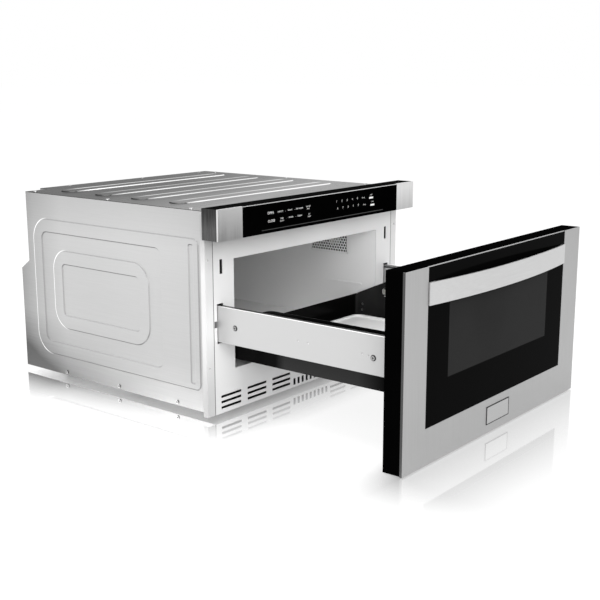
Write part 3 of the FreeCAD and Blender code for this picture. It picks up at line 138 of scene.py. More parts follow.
def finish_of(name, low, high, rough, metal=0.0, level=0.5, stretch=(1, 1, 1), grain=400.0,
              bump=0.1, depth=0.0001):
    """General surface: fine grain and slow mottling carry tone and roughness, grain relief."""
    made, tree, shader = tree_of(name)
    fine = noise(tree, place(tree, stretch), grain, 4.0)
    slow = noise(tree, place(tree), 5.0, 2.0)
    both = maths(tree, "MULTIPLY", maths(tree, "ADD", fine, slow), 0.5)
    tree.links.new(tones(tree, both, low, high, 0.3, 0.7), shader.inputs["Base Color"])
    tree.links.new(spread(tree, both, rough[0], rough[1], 0.3, 0.7), shader.inputs["Roughness"])
    shader.inputs["Metallic"].default_value = metal
    shader.inputs["Specular IOR Level"].default_value = level
    relief(tree, shader, fine, bump, depth)
    return made


# ---------------------------------------------------------------- materials
def tilt(tree, direction):
    """How far a face leans towards a direction."""
    dot = node(tree, "VectorMath", operation="DOT_PRODUCT")
    tree.links.new(node(tree, "NewGeometry").outputs["Normal"], dot.inputs[0])
    dot.inputs[1].default_value = direction
    return dot.outputs["Value"]


def height_of(tree, axis):
    """Object coordinate along one axis."""
    split = node(tree, "SeparateXYZ")
    tree.links.new(place(tree), split.inputs[0])
    return split.outputs[axis]


def band(tree, y, z, y0, y1, z0, z1, radius):
    """Mask of a painted highlight line just outside the rear end of a rounded rectangle, fading
    along its corners.
    """
    squares = []
    for value, low, high in ((y, y0, y1), (z, z0, z1)):
        off = maths(tree, "ABSOLUTE", maths(tree, "SUBTRACT", value, (low + high) / 2))
        off = maths(tree, "SUBTRACT", off, (high - low) / 2 - radius)
        squares.append(maths(tree, "POWER", maths(tree, "MAXIMUM", off, 0.0), 2.0))
    away = maths(tree, "SQRT", maths(tree, "ADD", squares[0], squares[1]))
    away = maths(tree, "ABSOLUTE", maths(tree, "SUBTRACT", away, radius + 0.0005))
    return maths(tree, "MULTIPLY", spread(tree, away, 1, 0, 0.0009, 0.0015),
                 spread(tree, y, 0, 1, y1 - radius, y1 - radius * 0.4))


def unseen(tree):
    """1 on faces that look in towards the middle of the body, the faces that get painted shade.
    """
    off = node(tree, "VectorMath", operation="SUBTRACT")
    tree.links.new(place(tree), off.inputs[0])
    off.inputs[1].default_value = (0, 0, 0.19)
    dot = node(tree, "VectorMath", operation="DOT_PRODUCT")
    tree.links.new(off.outputs[0], dot.inputs[0])
    tree.links.new(node(tree, "NewGeometry").outputs["Normal"], dot.inputs[1])
    return maths(tree, "LESS_THAN", dot.outputs["Value"], 0.0)


def zinc(name, low, high):
    """Zinc-coated sheet, painted darker towards the rear, lower rear corner, top, foot and rear
    edge as shade; embossed edges on the sides get painted highlight or shade; faces that look
    inward are painted dark as shade and undersides by the floor painted pale as light.
    """
    made, tree, shader = tree_of(name)
    rolled = noise(tree, place(tree, (60, 1.5, 60)), 9.0, 4.0)
    slow = noise(tree, place(tree, (1, 0.6, 1)), 4.0, 1.0)
    y, z = height_of(tree, "Y"), height_of(tree, "Z")
    tone = maths(tree, "ADD", spread(tree, rolled, -0.05, 0.05), spread(tree, slow, -0.1, 0.1))
    # Painted shade: the sheet is darkened towards the rear, the lower rear corner, the top, the
    # foot and the rear edge.
    rear = spread(tree, y, 0.0, 0.34, 0.14, 0.285)
    corner = maths(tree, "MULTIPLY", spread(tree, z, 0.75, 0.0, 0.0, 0.13),
                   spread(tree, y, 0.0, 1.0, -0.15, 0.28))
    upper = spread(tree, z, 0.0, 0.18, 0.30, 0.385)
    tone = maths(tree, "ADD", tone, 0.9)
    foot = spread(tree, z, 0.3, 0.0, 0.012, 0.075)
    edge = spread(tree, y, 0.0, 0.12, 0.23, 0.275)
    for shade in (rear, corner, upper, foot, edge):
        tone = maths(tree, "SUBTRACT", tone, shade)
    sheet = tones(tree, tone, low, high, 0.0, 1.0)
    # Painted highlight on embossed faces leaning towards +Y, then painted shade on faces leaning
    # down, up and towards -Y.
    bright = maths(tree, "MULTIPLY", spread(tree, tilt(tree, (0, 1, 0)), 0, 1, 0.1, 0.5),
                   spread(tree, y, 0.3, 1, -0.05, 0.1))
    ring_painted_light = blend(tree, bright, sheet, 0.97)
    for way, amount in (((0, 0, -1), 0.8), ((0, 0, 1), 0.45), ((0, -1, 0), 0.5)):
        ring_painted_light = blend(tree, spread(tree, tilt(tree, way), 0, amount, 0.1, 0.6), ring_painted_light, 0.14)
    # Painted highlight lines just outside the rear ends of the two embossed rings.
    painted_glint = maths(tree, "MAXIMUM", band(tree, y, z, -0.2415, 0.2295, 0.047, 0.3285, 0.045),
                  band(tree, y, z, -0.1115, 0.1695, 0.107, 0.2685, 0.042))
    ring_painted_light = blend(tree, painted_glint, ring_painted_light, 0.97)
    flat = maths(tree, "GREATER_THAN", maths(tree, "ABSOLUTE", tilt(tree, (1, 0, 0))), 0.5)
    # Painted light: downward faces near the floor are painted almost white.
    under = spread(tree, tilt(tree, (0, 0, -1)), 0, 1, 0.6, 0.9)
    under = maths(tree, "MULTIPLY", under, maths(tree, "LESS_THAN", z, 0.02))
    # Painted shade: faces that look in towards the middle of the body are painted near black.
    sheet = blend(tree, unseen(tree), blend(tree, flat, sheet, ring_painted_light), 0.03)
    sheet = blend(tree, under, sheet, 0.95)
    tree.links.new(sheet, shader.inputs["Base Color"])
    tree.links.new(spread(tree, rolled, 0.46, 0.36, 0.2, 0.7), shader.inputs["Roughness"])
    shader.inputs["Metallic"].default_value = 0.8
    relief(tree, shader, rolled, 0.02, 0.0002)
    return made


def ribbed(name):
    """Darker rolled sheet; both long edges of each rib get a painted highlight, with painted
    sheen towards the front and right and painted shade on faces towards -X.
    """
    made, tree, shader = tree_of(name)
    streak = noise(tree, place(tree, (1.2, 45, 45)), 5.0, 5.0, 0.7)
    slow = noise(tree, place(tree, (1, 3, 1)), 3.0, 1.0)
    y, z, up = height_of(tree, "Y"), height_of(tree, "Z"), tilt(tree, (0, 0, 1))
    tone = maths(tree, "ADD", spread(tree, streak, -0.16, 0.16), spread(tree, slow, -0.1, 0.1))
    # Painted sheen: the sheet is painted lighter towards the front.
    front = maths(tree, "POWER", spread(tree, y, 1, 0, -0.27, 0.2), 1.6)
    tone = maths(tree, "ADD", tone, spread(tree, front, 0.12, 0.95))
    # Painted highlight along each rib's sloped long edges and a painted highlight line along each
    # rib's rear shoulder, fading out near the ribs' left ends.
    slope = maths(tree, "MULTIPLY", spread(tree, up, 1, 0, 0.8, 0.95),
                  spread(tree, up, 0, 1, 0.2, 0.4))
    along = maths(tree, "FLOORED_MODULO", maths(tree, "ADD", y, 0.1155 + 0.0085), 0.105)
    shoulder_highlight = maths(tree, "MULTIPLY", maths(tree, "LESS_THAN", along, 0.0085),
                     maths(tree, "GREATER_THAN", z, 0.38055))
    shoulder_highlight = maths(tree, "MULTIPLY", shoulder_highlight, 0.7)
    edge = maths(tree, "MULTIPLY", maths(tree, "MAXIMUM", slope, shoulder_highlight),
                 spread(tree, slow, 0.55, 1.15, 0.3, 0.7))
    ends = spread(tree, height_of(tree, "X"), 0.0, 1.0, RIB_END + 0.015, RIB_END + 0.05)
    edge = maths(tree, "MULTIPLY", edge, ends)
    # Painted sheen, lighter towards the right and the front.
    aside = maths(tree, "SUBTRACT", height_of(tree, "X"), y)
    tone = maths(tree, "ADD", tone, spread(tree, aside, 0.02, 0.55, -0.15, 0.5))
    sheet = tones(tree, tone, grey(0.08), grey(0.62), 0.0, 1.0)
    # Painted shade on faces that lean towards -X, over the painted highlights.
    end = spread(tree, tilt(tree, (-1, 0, 0)), 0, 1, 0.02, 0.12)
    sheet = blend(tree, end, blend(tree, edge, sheet, 0.97), 0.05)
    tree.links.new(sheet, shader.inputs["Base Color"])
    # The specular tint follows the painted highlight.
    tree.links.new(blend(tree, edge, 0.25, 1.0), shader.inputs["Specular Tint"])
    tree.links.new(spread(tree, streak, 0.22, 0.36), shader.inputs["Roughness"])
    shader.inputs["Metallic"].default_value = 0.9
    shader.inputs["Specular IOR Level"].default_value = 0.2
    relief(tree, shader, streak, 0.05, 0.0002)
    return made


def panel_case(name):
    """Panel's case: dull dark sides, with painted shade darker towards their top, under a gloss
    black top.
    """
    made, tree, shader = tree_of(name)
    fine = noise(tree, place(tree, (200, 200, 4)), 3.0, 4.0)
    # Painted shade: the sides are darker towards their top.
    edge = spread(tree, height_of(tree, "Z"), 0.0, 0.5, 0.352, 0.387)
    side = tones(tree, maths(tree, "SUBTRACT", fine, edge), grey(0.035), grey(0.1), 0.1, 0.6)
    top = spread(tree, tilt(tree, (0, 0, 1)), 0, 1, 0.3, 0.6)
    tree.links.new(blend(tree, top, side, 0.003), shader.inputs["Base Color"])
    tree.links.new(spread(tree, top, 0.7, 0.0), shader.inputs["Metallic"])
    tree.links.new(spread(tree, top, 0.03, 0.0), shader.inputs["Specular IOR Level"])
    tree.links.new(spread(tree, fine, 0.2, 0.35), shader.inputs["Roughness"])
    return made


def brushed(name, low, high, along="x", rough=(0.28, 0.4), shade=None, painted_run=0.0, flank_shade=None):
    """Brushed steel, its lines along one axis; shade paints light and shade up its height, run
    paints light and shade from left to right, and flank is the painted shade of its sides."""
    made, tree, shader = tree_of(name)
    stretch = {"x": (3, 500, 500), "z": (500, 500, 3), "y": (500, 3, 500)}[along]
    fine = noise(tree, place(tree, stretch), 1.6, 5.0, 0.65)
    slow = noise(tree, place(tree, (2.5, 2.5, 2.5)), 1.4, 2.0)
    tone = maths(tree, "ADD", maths(tree, "MULTIPLY", fine, 0.45),
                 spread(tree, slow, 0.2, 0.35))
    # Painted light and shade up the height.
    if shade:
        low_z, high_z, amount = shade
        down = spread(tree, height_of(tree, "Z"), 0.0, amount, low_z, high_z)
        tone = maths(tree, "SUBTRACT", tone, down)
    # Painted light and shade from left to right.
    if painted_run:
        tone = maths(tree, "ADD", tone, spread(tree, height_of(tree, "X"), -painted_run, painted_run, -0.3, 0.3))
    face = tones(tree, tone, low, high, 0.2, 0.7)
    # Painted shade: the X-facing sides take the flank tone.
    if flank_shade is not None:
        aside = spread(tree, maths(tree, "ABSOLUTE", tilt(tree, (1, 0, 0))), 0, 1, 0.5, 0.8)
        face = blend(tree, aside, face, flank_shade)
    tree.links.new(face, shader.inputs["Base Color"])
    tree.links.new(spread(tree, fine, rough[0], rough[1], 0.3, 0.7), shader.inputs["Roughness"])
    shader.inputs["Metallic"].default_value = 0.85
    shader.inputs["Anisotropic"].default_value = 0.5
    relief(tree, shader, fine, 0.12, 0.00008)
    return made


def edged_plate(name):
    """Pale plated sheet whose upper and end edges get a painted highlight, with painted shading
    along it and painted shadow inside its upper flange.
    """
    made, tree, shader = tree_of(name)
    slow = noise(tree, place(tree, (1, 0.3, 1)), 3.0, 2.0)
    # Painted shading, lighter towards the rear.
    painted_run = spread(tree, height_of(tree, "Y"), -0.12, 0.12, -0.65, -0.27)
    tone = maths(tree, "ADD", spread(tree, slow, 0.35, 0.65, 0.3, 0.7), painted_run)
    # Painted highlight on faces that lean up.
    bright = spread(tree, tilt(tree, (0, 0, 1)), 0, 1, 0.3, 0.8)
    plate = blend(tree, bright, tones(tree, tone, grey(0.42), grey(0.54), 0, 1), 0.95)
    # Painted shadow: the inner part of the upward flange faces low down is painted near black.
    painted_lip_shadow = maths(tree, "LESS_THAN", maths(tree, "ABSOLUTE", height_of(tree, "X")), 0.2622)
    painted_lip_shadow = maths(tree, "MULTIPLY", maths(tree, "MULTIPLY", painted_lip_shadow, bright),
                maths(tree, "LESS_THAN", height_of(tree, "Z"), 0.215))
    tree.links.new(blend(tree, painted_lip_shadow, plate, 0.01), shader.inputs["Base Color"])
    tree.links.new(spread(tree, slow, 0.35, 0.48), shader.inputs["Roughness"])
    shader.inputs["Metallic"].default_value = 0.35
    shader.inputs["Specular IOR Level"].default_value = 0.4
    return made


def enamel_front(name):
    """Painted front: joint lines beside the flanges, a dark comb vent widened with painted shade,
    painted shade under the panel, towards the left, low down and down the flanges, and a foot
    made paler with painted light."""
    made, tree, shader = tree_of(name)
    fine = noise(tree, place(tree), 900.0)
    slow = noise(tree, place(tree), 5.0, 2.0)
    x, z = maths(tree, "ABSOLUTE", height_of(tree, "X")), height_of(tree, "Z")
    # Painted shading: darker towards the left, with painted shade under the panel and low down on
    # the left.
    tone = maths(tree, "ADD", spread(tree, slow, 0.78, 0.9, 0.3, 0.7),
                 spread(tree, height_of(tree, "X"), -0.06, 0.12, -0.29, 0.29))
    left = spread(tree, height_of(tree, "X"), 1.0, 0.15, -0.29, 0.1)
    shade = maths(tree, "ADD", spread(tree, z, 0.0, 0.5, 0.27, 0.34),
                  spread(tree, z, 0.14, 0.0, 0.04, 0.12))
    tone = maths(tree, "SUBTRACT", tone, maths(tree, "MULTIPLY", left, shade))
    # Painted shade down the flanges, strongest low down.
    flange = maths(tree, "MULTIPLY", spread(tree, x, 0.0, 1.0, 0.2768, 0.2772),
                   spread(tree, z, 0.3, 0.12, 0.03, 0.16))
    tone = maths(tree, "SUBTRACT", tone, flange)
    # Painted light: a paler foot low on the front, right of the left side.
    foot = maths(tree, "MULTIPLY", spread(tree, z, 0.5, 0.0, 0.05, 0.1),
                 spread(tree, height_of(tree, "X"), 0.0, 1.0, -0.2, -0.05))
    tone = maths(tree, "ADD", tone, foot)
    joint = maths(tree, "LESS_THAN", maths(tree, "ABSOLUTE",
                                           maths(tree, "SUBTRACT", x, 0.2772)), 0.0009)
    # Painted shade: dark bands round the comb vent's slots.
    comb = maths(tree, "LESS_THAN", maths(tree, "PINGPONG", x, 0.00645), 0.0032)
    comb = maths(tree, "MULTIPLY", comb, maths(tree, "LESS_THAN", x, 0.0551))
    level = maths(tree, "ABSOLUTE", maths(tree, "SUBTRACT", z, 0.0199))
    comb = maths(tree, "MULTIPLY", comb, maths(tree, "LESS_THAN", level, 0.0065))
    dark = maths(tree, "MAXIMUM", maths(tree, "MULTIPLY", joint, 0.75), comb)
    face = tones(tree, maths(tree, "MULTIPLY", tone, 0.67), grey(0.3), grey(0.96), 0, 1)
    tree.links.new(blend(tree, dark, face, 0.02), shader.inputs["Base Color"])
    tree.links.new(spread(tree, fine, 0.28, 0.4), shader.inputs["Roughness"])
    shader.inputs["Specular IOR Level"].default_value = 0.4
    relief(tree, shader, fine, 0.06, 0.00006)
    return made


def cavity_enamel(name):
    """Smooth pale enamel, painted a little darker towards the rear as shade."""
    made, tree, shader = tree_of(name)
    fine = noise(tree, place(tree), 1400.0)
    slow = noise(tree, place(tree), 5.0, 2.0)
    # Painted shade towards the rear.
    rear = spread(tree, height_of(tree, "Y"), 0.94, 0.7, -0.25, 0.2)
    tone = maths(tree, "ADD", rear, spread(tree, slow, -0.02, 0.02))
    tree.links.new(tones(tree, tone, grey(0.5), grey(1.0), 0.5, 1.0), shader.inputs["Base Color"])
    tree.links.new(spread(tree, fine, 0.14, 0.24), shader.inputs["Roughness"])
    relief(tree, shader, fine, 0.1, 0.00005)
    return made


def black_tub(name):
    """Gloss black enamel; the walls that face left get a painted sheen, paler towards the rear.
    """
    made, tree, shader = tree_of(name)
    slow = noise(tree, place(tree), 8.0, 2.0)
    # Painted sheen: left-facing walls paler towards the rear; on the lower outer wall only in a
    # band along its middle.
    left = spread(tree, tilt(tree, (-1, 0, 0)), 0, 1, 0.4, 0.8)
    rear = maths(tree, "POWER", spread(tree, height_of(tree, "Y"), 0, 1, -0.44, -0.28), 1.3)
    pale = maths(tree, "MULTIPLY", maths(tree, "MULTIPLY", left, rear),
                 spread(tree, slow, 0.6, 1.0, 0.3, 0.7))
    outer = maths(tree, "MULTIPLY", maths(tree, "LESS_THAN", height_of(tree, "X"), -0.2), left)
    outer = maths(tree, "MULTIPLY", outer, maths(tree, "LESS_THAN", height_of(tree, "Z"), 0.15))
    middle = maths(tree, "MULTIPLY", spread(tree, height_of(tree, "Y"), 0, 1, -0.6, -0.55),
                   spread(tree, height_of(tree, "Y"), 1, 0, -0.39, -0.37))
    pale = blend(tree, outer, pale, middle)
    tree.links.new(blend(tree, pale, 0.003, 0.03), shader.inputs["Base Color"])
    tree.links.new(spread(tree, slow, 0.08, 0.16), shader.inputs["Roughness"])
    shader.inputs["Specular IOR Level"].default_value = 0.025
    return made


def head_steel(name):
    """Plated screw head: bright on the top cover, greyer with a dark rim on the sides, both
    painted shade.
    """
    made, tree, shader = tree_of(name)
    grain = noise(tree, place(tree), 2500.0)
    over = maths(tree, "GREATER_THAN", height_of(tree, "Z"), 0.3775)
    across = maths(tree, "ABSOLUTE", tilt(tree, (1, 0, 0)))
    up = maths(tree, "MULTIPLY", tilt(tree, (0, 0, 1)), over)
    # Painted shade: on the side screws the head's rim is painted dark and its face greyer.
    rim = spread(tree, maths(tree, "MAXIMUM", across, up), 1, 0, 0.5, 0.8)
    outer = maths(tree, "GREATER_THAN", maths(tree, "ABSOLUTE", height_of(tree, "X")), 0.24)
    beside = maths(tree, "SUBTRACT", outer, over, clamp=True)
    rim = maths(tree, "MULTIPLY", rim, beside)
    face = blend(tree, beside, tones(tree, grain, grey(0.6), grey(0.85)), 0.4)
    tree.links.new(blend(tree, rim, face, 0.05), shader.inputs["Base Color"])
    tree.links.new(spread(tree, grain, 0.2, 0.35), shader.inputs["Roughness"])
    shader.inputs["Metallic"].default_value = 0.9
    return made


def inside(tree, x0, x1, z0, z1):
    """1 inside a rectangle of X and Z, 0 outside, with a thin soft edge."""
    soft = 0.0006
    sides = []
    for axis, low, high in (("X", x0, x1), ("Z", z0, z1)):
        value = height_of(tree, axis)
        sides.append(spread(tree, value, 0, 1, low - soft, low + soft))
        sides.append(spread(tree, value, 1, 0, high - soft, high + soft))
    product = sides[0]
    for side in sides[1:]:
        product = maths(tree, "MULTIPLY", product, side)
    return product


def window_glass(name):
    """Black printed glass; inside the window the dark perforated screen shows through."""
    made, tree, shader = tree_of(name)
    mask = inside(tree, -0.173, 0.173, 0.1349, 0.2775)
    dots = node(tree, "TexVoronoi", Scale=420.0, Randomness=0.0)
    tree.links.new(place(tree, (1, 0.01, 1), (0, math.radians(45), 0)), dots.inputs["Vector"])
    hole = spread(tree, dots.outputs["Distance"], 0.55, 1.0, 0.25, 0.4)
    slow = noise(tree, place(tree), 4.0, 2.0)
    screen = maths(tree, "MULTIPLY", hole, spread(tree, slow, 0.75, 1.1, 0.3, 0.7))
    factor = maths(tree, "MULTIPLY", mask, screen, clamp=True)
    tree.links.new(tones(tree, factor, grey(0.0016), grey(0.021), 0.0, 1.0),
                   shader.inputs["Base Color"])
    tree.links.new(spread(tree, slow, 0.04, 0.07, 0.3, 0.7), shader.inputs["Roughness"])
    shader.inputs["Specular IOR Level"].default_value = 0.004
    return made


def perforated(name):
    """Dark steel sheet pierced with small round holes in staggered rows."""
    made, tree, shader = tree_of(name)
    dots = node(tree, "TexVoronoi", Scale=420.0, Randomness=0.0)
    tree.links.new(place(tree, (1, 0.01, 1), (0, math.radians(45), 0)), dots.inputs["Vector"])
    hole = spread(tree, dots.outputs["Distance"], 0, 1, 0.28, 0.34)
    tree.links.new(tones(tree, hole, grey(0.004), grey(0.07), 0.0, 1.0),
                   shader.inputs["Base Color"])
    shader.inputs["Roughness"].default_value = 0.45
    shader.inputs["Metallic"].default_value = 0.5
    relief(tree, shader, hole, 0.4, 0.0002)
    return made


def opal(name):
    """White tray glass with a soft gloss."""
    made, tree, shader = tree_of(name)
    slow = noise(tree, place(tree), 9.0, 2.0)
    tree.links.new(tones(tree, slow, grey(0.84), grey(0.89)), shader.inputs["Base Color"])
    tree.links.new(spread(tree, slow, 0.08, 0.16), shader.inputs["Roughness"])
    shader.inputs["Subsurface Weight"].default_value = 0.08
    shader.inputs["Subsurface Radius"].default_value = (0.004, 0.004, 0.004)
    shader.inputs["Coat Weight"].default_value = 0.3
    return made


def board(name):
    """Green circuit board with paler tracks and dark parts higher up."""
    made, tree, shader = tree_of(name)
    brick = node(tree, "TexBrick", Scale=160.0)
    brick.inputs["Color1"].default_value = (0.02, 0.13, 0.05, 1)
    brick.inputs["Color2"].default_value = (0.025, 0.17, 0.07, 1)
    brick.inputs["Mortar"].default_value = (0.12, 0.3, 0.14, 1)
    tree.links.new(place(tree, (1, 1, 1), (math.radians(90), 0, 0)), brick.inputs["Vector"])
    tree.links.new(brick.outputs["Color"], shader.inputs["Base Color"])
    grain = noise(tree, place(tree), 220.0)
    tree.links.new(spread(tree, grain, 0.35, 0.55), shader.inputs["Roughness"])
    relief(tree, shader, brick.outputs["Fac"], 0.2, 0.0002)
    return made


def bulb(name):
    """Clear lamp glass, faintly frosted."""
    made, tree, shader = tree_of(name)
    slow = noise(tree, place(tree), 60.0)
    tree.links.new(tones(tree, slow, (0.9, 0.88, 0.8), (0.97, 0.96, 0.92)),
                   shader.inputs["Base Color"])
    tree.links.new(spread(tree, slow, 0.12, 0.3), shader.inputs["Roughness"])
    shader.inputs["Transmission Weight"].default_value = 0.4
    return made


ZINC = zinc("zinc_sheet", grey(0.1), grey(0.56))
TOP = ribbed("zinc_sheet_top")
WHITE = enamel_front("white_enamel_front")
CAVITY = cavity_enamel("cavity_enamel")
PLATE = edged_plate("zinc_plated")
TUB = black_tub("black_enamel_tub")
BLACK = finish_of("gloss_black_paint", grey(0.0005), grey(0.0014), (0.12, 0.2), level=0.0,
                  grain=1500, bump=0.08, depth=0.00004)
BOX = panel_case("panel_case")
# Trim sides get painted shade; the caps get painted light and shade up their height and from left
# to right.
STEEL = brushed("brushed_trim", grey(0.28), grey(0.42), "z", flank_shade=0.07)
CAPS = brushed("brushed_caps", grey(0.32), grey(0.66), "z", shade=(0.334, 0.38, -0.3), painted_run=-0.08)
GRIP = brushed("brushed_grip", grey(0.42), grey(0.58), "x")
SLIDE = finish_of("rolled_steel", grey(0.5), grey(0.62), (0.25, 0.36), metal=0.9,
                  stretch=(1, 0.03, 1), grain=600)
ALUMINIUM = finish_of("mill_aluminium", grey(0.62), grey(0.76), (0.3, 0.42), metal=0.9,
                      stretch=(1, 1, 0.05), grain=500)
ACETAL = finish_of("acetal", (0.72, 0.71, 0.66), (0.78, 0.77, 0.73), (0.4, 0.5), grain=700)
PLASTIC = finish_of("black_plastic", grey(0.012), grey(0.022), (0.42, 0.55), grain=1100,
                    bump=0.2)
SWITCH = finish_of("switch_moulding", grey(0.02), grey(0.04), (0.35, 0.5), grain=900, bump=0.15)
MOTOR = finish_of("motor_steel", grey(0.28), grey(0.4), (0.3, 0.45), metal=0.7, grain=500,
                  stretch=(1, 1, 6))
CORE = finish_of("varnished_core", (0.12, 0.1, 0.08), (0.22, 0.17, 0.12), (0.35, 0.5), metal=0.3,
                 stretch=(30, 1, 1), grain=60, bump=0.4, depth=0.0003)
CAN = finish_of("drawn_can", grey(0.55), grey(0.7), (0.22, 0.35), metal=0.9, grain=500,
                stretch=(0.05, 1, 1))
MICA = finish_of("mica_board", (0.6, 0.57, 0.48), (0.72, 0.69, 0.62), (0.35, 0.55), grain=350,
                 bump=0.15)
SCREW = head_steel("plated_screw")
# Washers dark as painted shade round the screw heads.
WASHER = finish_of("washer_steel", grey(0.04), grey(0.08), (0.35, 0.5), metal=0.7, grain=1500)
# Screw recesses painted near black as shade.
SLOT_SHADE = finish_of("screw_slot_shade", grey(0.01), grey(0.03), (0.5, 0.6), grain=2500)
# The air duct is painted near black as the shade seen through the vent holes.
DUCT_SHADE = finish_of("duct_painted_shade", grey(0.002), grey(0.004), (0.4, 0.5), level=0.05, grain=400)

LOOKS = {
    ZINC: "base_pan rear_panel side_panel_left side_panel_right slide_bracket_left "
          "slide_bracket_right drive_bracket choke_ring",
    DUCT_SHADE: "air_duct",
    TOP: "top_cover",
    WHITE: "front_frame",
    CAVITY: "cavity_floor cavity_rear_wall cavity_roof cavity_wall_left cavity_wall_right "
            "vent_screen",
    SLIDE: "slide_outer_left slide_outer_right slide_middle_left slide_middle_right "
           "slide_inner_left slide_inner_right",
    PLATE: "side_plate_left side_plate_right latch_hooks",
    ACETAL: "drive_rack drive_pinion",
    MOTOR: "drive_motor fan_motor stirrer_motor",
    TUB: "drawer_tub",
    opal("opal_tray"): "glass_tray",
    STEEL: "door_trim",
    window_glass("printed_glass"): "door_glass",
    BLACK: "door_shell door_back_plate",
    perforated("pierced_screen"): "window_screen",
    GRIP: "handle",
    BOX: "control_housing",
    board("circuit_board"): "control_board filter_board",
    finish_of("touch_glass", grey(0.0003), grey(0.0009), (0.05, 0.09), level=0.0,
              grain=60): "control_glass",
    CAPS: "control_cap_left control_cap_right",
    ALUMINIUM: "waveguide magnetron stirrer",
    PLASTIC: "fan_shroud fan_wheel cord_gland",
    MICA: "stirrer_cover",
    CORE: "transformer",
    CAN: "capacitor",
    bulb("lamp_glass"): "oven_lamp",
    SWITCH: "thermal_cutouts interlock_left interlock_right",
    SCREW: "chassis_screws drawer_screws",
}
for look, names in LOOKS.items():
    for name in names.split():
        NODES[name].data.materials.clear()
        NODES[name].data.materials.append(look)


# ---------------------------------------------------------------- mesh helpers
def object_of(name, work):
    """Object made from a bmesh, which it frees."""
    mesh = bpy.data.meshes.new(name)
    work.to_mesh(mesh)
    work.free()
    made = bpy.data.objects.new(name, mesh)
    bpy.context.scene.collection.objects.link(made)
    return made


def ring(work, x, y, z, radius, count):
    """Ring of vertices that faces along X, its first one at the top."""
    turns = [math.tau * k / count for k in range(count)]
    return [work.verts.new((x, y + radius * math.sin(turn), z + radius * math.cos(turn)))
            for turn in turns]


def skin(work, rings):
    """Faces between rings that follow each other."""
    for first, second in zip(rings, rings[1:]):
        for k in range(len(first)):
            after = (k + 1) % len(first)
            work.faces.new((first[k], first[after], second[after], second[k]))


def plate_mesh(name, x0, x1, y0, y1, z0, z1, bevel=0.0002):
    """Flat bar with eased edges."""
    work = bmesh.new()
    bmesh.ops.create_cube(work, size=1.0)
    for v in work.verts:
        v.co = Vector(((x0 + x1) / 2 + v.co.x * (x1 - x0), (y0 + y1) / 2 + v.co.y * (y1 - y0),
                       (z0 + z1) / 2 + v.co.z * (z1 - z0)))
    if bevel:
        bmesh.ops.bevel(work, geom=work.edges[:], offset=bevel, segments=2, affect="EDGES")
    return object_of(name, work)


def add(piece, look, body):
    """Gives a piece its material and body."""
    piece.data.materials.clear()
    piece.data.materials.append(look)
    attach(piece, body)
    return piece


def join_meshes(name, pieces):
    """One object from several meshes."""
    work = bmesh.new()
    for piece in pieces:
        mesh = piece.data.copy()
        mesh.transform(piece.matrix_world)
        work.from_mesh(mesh)
        bpy.data.meshes.remove(mesh)
        bpy.data.objects.remove(piece)
    return object_of(name, work)


def lettering(name, rows, y, look, body):
    """Flat printed words on a face towards -Y: rows of (text, centre x, centre z, height)."""
    pieces = []
    for text, x, z, size in rows:
        curve = bpy.data.curves.new(name + "_text", "FONT")
        curve.body = text
        curve.size = size * 1.42
        curve.align_x, curve.align_y = "CENTER", "CENTER"
        curve.resolution_u = 3
        holder = bpy.data.objects.new(name + "_text", curve)
        bpy.context.scene.collection.objects.link(holder)
        bpy.context.view_layer.update()
        mesh = bpy.data.meshes.new_from_object(holder.evaluated_get(
            bpy.context.evaluated_depsgraph_get()))
        bpy.data.objects.remove(holder)
        made = bpy.data.objects.new(name + "_part", mesh)
        bpy.context.scene.collection.objects.link(made)
        made.matrix_world = Matrix.Translation((x, y, z)) @ Matrix.Rotation(math.pi / 2, 4, "X")
        pieces.append(made)
    bpy.context.view_layer.update()
    return add(join_meshes(name, pieces), look, body)


# ---------------------------------------------------------------- screw heads
LEAST_HEAD = 0.006         # rivets below this size get no recess or washer
WASHER_THICK = 0.0004


def islands(name):
    """Low and high corner of each loose piece of a CAD node."""
    work = bmesh.new()
    work.from_mesh(NODES[name].data)
    work.transform(NODES[name].matrix_world)
    bmesh.ops.remove_doubles(work, verts=work.verts[:], dist=1e-6)
    left, found = set(work.verts), []
    while left:
        group, fresh = [], [left.pop()]
        while fresh:
            vertex = fresh.pop()
            group.append(vertex.co.copy())
            for edge in vertex.link_edges:
                other = edge.other_vert(vertex)
                if other in left:
                    left.remove(other)
                    fresh.append(other)
        found.append([Vector([pick(p[k] for p in group) for k in range(3)])
                      for pick in (min, max)])
    work.free()
    return found


def crosses(name, body):
    """Cross recesses on the outer faces of a node's screw heads, painted dark as shade."""
    bars = []
    for lo, hi in islands(name):
        size, middle = hi - lo, (lo + hi) / 2
        axis = min(range(3), key=lambda k: size[k])
        if max(size) < LEAST_HEAD:
            continue
        face = hi[axis] if middle[axis] > 0 else lo[axis]
        across = [k for k in range(3) if k != axis]
        for long_way, short_way in (across, across[::-1]):
            low, high = middle.copy(), middle.copy()
            low[axis], high[axis] = face - 0.0003, face + 0.00004
            reach, width = size[long_way] * 0.3, size[long_way] * 0.07
            low[long_way], high[long_way] = middle[long_way] - reach, middle[long_way] + reach
            low[short_way], high[short_way] = middle[short_way] - width, middle[short_way] + width
            bars.append(plate_mesh("bar", low.x, high.x, low.y, high.y, low.z, high.z, 0.0))
    add(join_meshes(name + "_crosses", bars), SLOT_SHADE, body)


crosses("chassis_screws", "chassis")
crosses("drawer_screws", "drawer")


